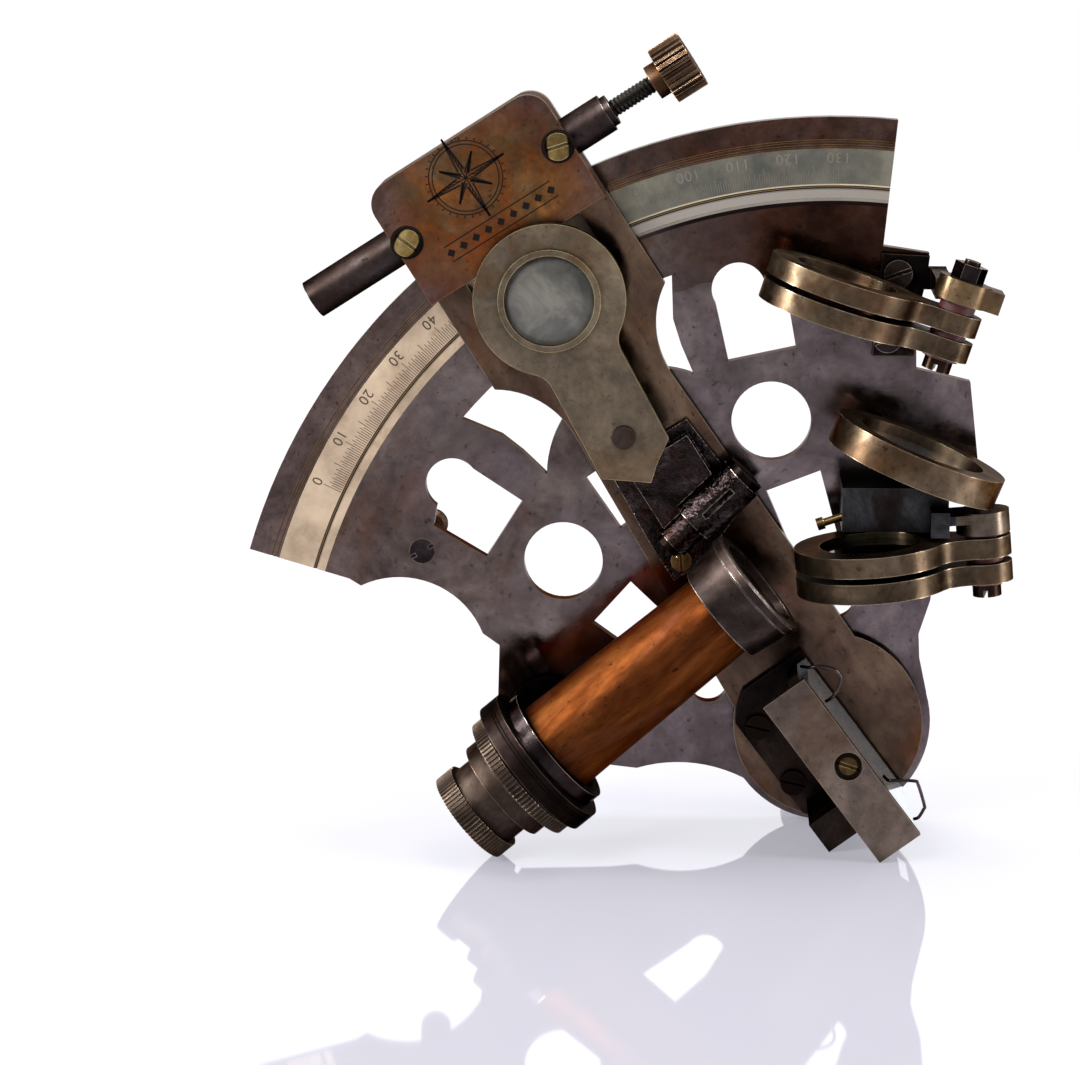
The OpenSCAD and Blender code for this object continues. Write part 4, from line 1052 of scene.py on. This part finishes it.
class SEXTANT_OT_clips(bpy.types.Operator):
    """Bend the two wires that hold the index mirror"""

    bl_idname = "sextant.clips"
    bl_label = "Clips"

    def execute(self, context):
        settings = context.scene.sextant
        clip = settings.clip
        place = mirror_matrix(settings)
        high = clip.high / MM
        # Places in mm: down the cap, from its middle line towards the glass, over the plate
        routes = (
            [
                (-14.2, WIRE_AT, high - 3), (-13.9, 5.6, high - 0.4),
                (-13.2, 7, high), (-11.4, 8.6, high), (-9.7, 8.7, high), (-8.5, 7.4, high),
                (-7.9, 5.9, high), (-7.6, WIRE_AT, high - 1.4),
            ],
            [
                (8.3, WIRE_AT, high - 3), (8.6, 4.9, high - 0.3), (9.2, 5.9, high),
                (11, 8.2, high), (11.8, 8.4, high), (15.2, 7.2, high), (15.7, 6.7, high),
                (16.3, 5.3, high), (16.5, WIRE_AT, high - 1.4),
            ],
        )
        black = bpy.data.materials["Blackened metal"]
        points, faces = np.zeros((0, 3)), []
        for route in routes:
            more, quads = tube(smooth(np.array(route) * MM), clip.radius)
            faces += [tuple(len(points) + k for k in quad) for quad in quads]
            points = np.concatenate([points, more])
        obj = new_mesh("bent_clips", moved(points, place), faces, black, True)
        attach(obj, "index_arm")
        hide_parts("mirror_clips")
        return {"FINISHED"}


class SEXTANT_OT_threads(bpy.types.Operator):
    """Cut the thread of the tangent screw"""

    bl_idname = "sextant.threads"
    bl_label = "Threads"

    def execute(self, context):
        settings = context.scene.sextant
        steel = bpy.data.materials["Dark steel"]
        rod = rod_matrix(settings)
        start = (rod.inverted() @ centre("guide_tube")).z + THREAD_FROM
        pitch, depth = settings.arm.rod_pitch, settings.arm.rod_depth
        points, faces = thread(THREAD_ROOT, depth, pitch, start, start + THREAD_LONG)
        obj = new_mesh("tangent_thread", moved(points, rod), faces, steel, True)
        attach(obj, "tangent_screw")
        return {"FINISHED"}


class SEXTANT_OT_stage(bpy.types.Operator):
    """Set the floor, the light and the camera"""

    bl_idname = "sextant.stage"
    bl_label = "Stage"

    def execute(self, context):
        stage = context.scene.sextant.stage
        self.floor(stage)
        self.world(context, stage)
        self.lights(stage)
        self.camera(context, stage)
        context.scene.view_settings.view_transform = "Standard"
        return {"FINISHED"}

    def floor(self, stage):
        """A glossy lavender-white floor that looks white far off."""
        tree = Tree("Floor")
        colour = tuple(stage.floor_tone) + (1,)
        tree.set(
            Base_Color=colour,
            Emission_Color=colour,
            Emission_Strength=stage.floor_glow,
            Roughness=stage.floor_rough,
            IOR=stage.floor_ior,
        )
        far = tree.rise(tree.radius(tree.place), FLOOR_NEAR, FLOOR_FAR)
        white = tree.add("Emission", {"Color": (1, 1, 1, 1)})
        both = tree.add("MixShader")
        for index, value in enumerate((far, tree.shader.outputs[0], white.outputs[0])):
            tree.feed(both.inputs[index], value)
        tree.links.new(both.outputs[0], tree.nodes["Material Output"].inputs["Surface"])
        half = stage.floor_size / 2
        points = [(-half, -half, 0), (half, -half, 0), (half, half, 0), (-half, half, 0)]
        new_mesh("floor", points, [(0, 1, 2, 3)], tree.owner)

    def world(self, context, stage):
        """White for the camera, dimmer on the observer's side for what is reflected."""
        tree = Tree("Studio", "worlds", "Background", "Generated")
        context.scene.world = tree.owner
        stops = ((0.0, 0.22), (0.3, 0.45), (0.5, 0.95), (1.0, 1.3))
        greys = [(where, (grey, grey, grey * 1.02, 1)) for where, grey in stops]
        around = tree.ramp(tree.rise(tree.axis("Y"), -1, 1), *greys)
        camera = tree.add("LightPath").outputs["Is Camera Ray"]
        tree.set(Color=tree.mix(camera, around, (1, 1, 1, 1)), Strength=stage.fill)

    def lights(self, stage):
        """A key softbox at the upper left, a strip at each side and one above."""
        places = (
            ("key", (-0.35, -0.45, 0.5), (0.3, 0.3), stage.key_power),
            ("left", (-0.55, -0.1, 0.2), (0.12, 0.6), stage.rim_power),
            ("right", (0.55, -0.15, 0.22), (0.12, 0.6), stage.rim_power),
            ("top", (0.05, 0.05, 0.62), (0.5, 0.2), stage.rim_power),
        )
        for name, place, size, power in places:
            light = bpy.data.lights.new(name, "AREA")
            light.shape = "RECTANGLE"
            light.size, light.size_y = size
            light.energy = power
            obj = bpy.data.objects.new(name, light)
            obj.location = place
            obj.rotation_euler = (AIM - obj.location).to_track_quat("-Z", "Y").to_euler()
            bpy.context.collection.objects.link(obj)

    def camera(self, context, stage):
        """The photograph's camera."""
        data = bpy.data.cameras.new("camera")
        data.lens = stage.lens
        data.sensor_width = 36.0
        data.sensor_fit = "HORIZONTAL"
        data.clip_start, data.clip_end = 0.01, 50
        obj = bpy.data.objects.new("camera", data)
        pivot = plate_matrix().translation
        obj.location = pivot + Vector(stage.camera_from_pivot)
        obj.rotation_euler = (math.pi / 2 + stage.camera_pitch, 0, stage.camera_yaw)
        context.collection.objects.link(obj)
        context.scene.camera = obj


class SEXTANT_PT_panel(bpy.types.Panel):
    """The sextant's settings and steps"""

    bl_label = "Sextant"
    bl_idname = "SEXTANT_PT_panel"
    bl_space_type = "VIEW_3D"
    bl_region_type = "UI"
    bl_category = "Sextant"

    def draw(self, context):
        for group in ("scale", "arm", "cover", "clip", "scope", "stage"):
            box = self.layout.box()
            values = getattr(context.scene.sextant, group)
            for key in values.__annotations__:
                box.prop(values, key)
        for operator in OPERATORS:
            self.layout.operator(operator.bl_idname)


OPERATORS = (
    SEXTANT_OT_finishes,
    SEXTANT_OT_scale,
    SEXTANT_OT_cover,
    SEXTANT_OT_clips,
    SEXTANT_OT_threads,
    SEXTANT_OT_stage,
)
CLASSES = (
    ScaleSettings,
    ArmSettings,
    CoverSettings,
    ClipSettings,
    ScopeSettings,
    StageSettings,
    SextantSettings,
    *OPERATORS,
    SEXTANT_PT_panel,
)


def register():
    """Adds the classes and the scene's settings."""
    for cls in CLASSES:
        bpy.utils.register_class(cls)
    bpy.types.Scene.sextant = PointerProperty(type=SextantSettings)


def unregister():
    """Removes them again."""
    del bpy.types.Scene.sextant
    for cls in reversed(CLASSES):
        bpy.utils.unregister_class(cls)


def main():
    """Builds the whole scene."""
    register()
    bpy.ops.sextant.finishes()
    bpy.ops.sextant.scale()
    bpy.ops.sextant.cover()
    bpy.ops.sextant.clips()
    bpy.ops.sextant.threads()
    bpy.ops.sextant.stage()


if __name__ == "__main__":
    main()
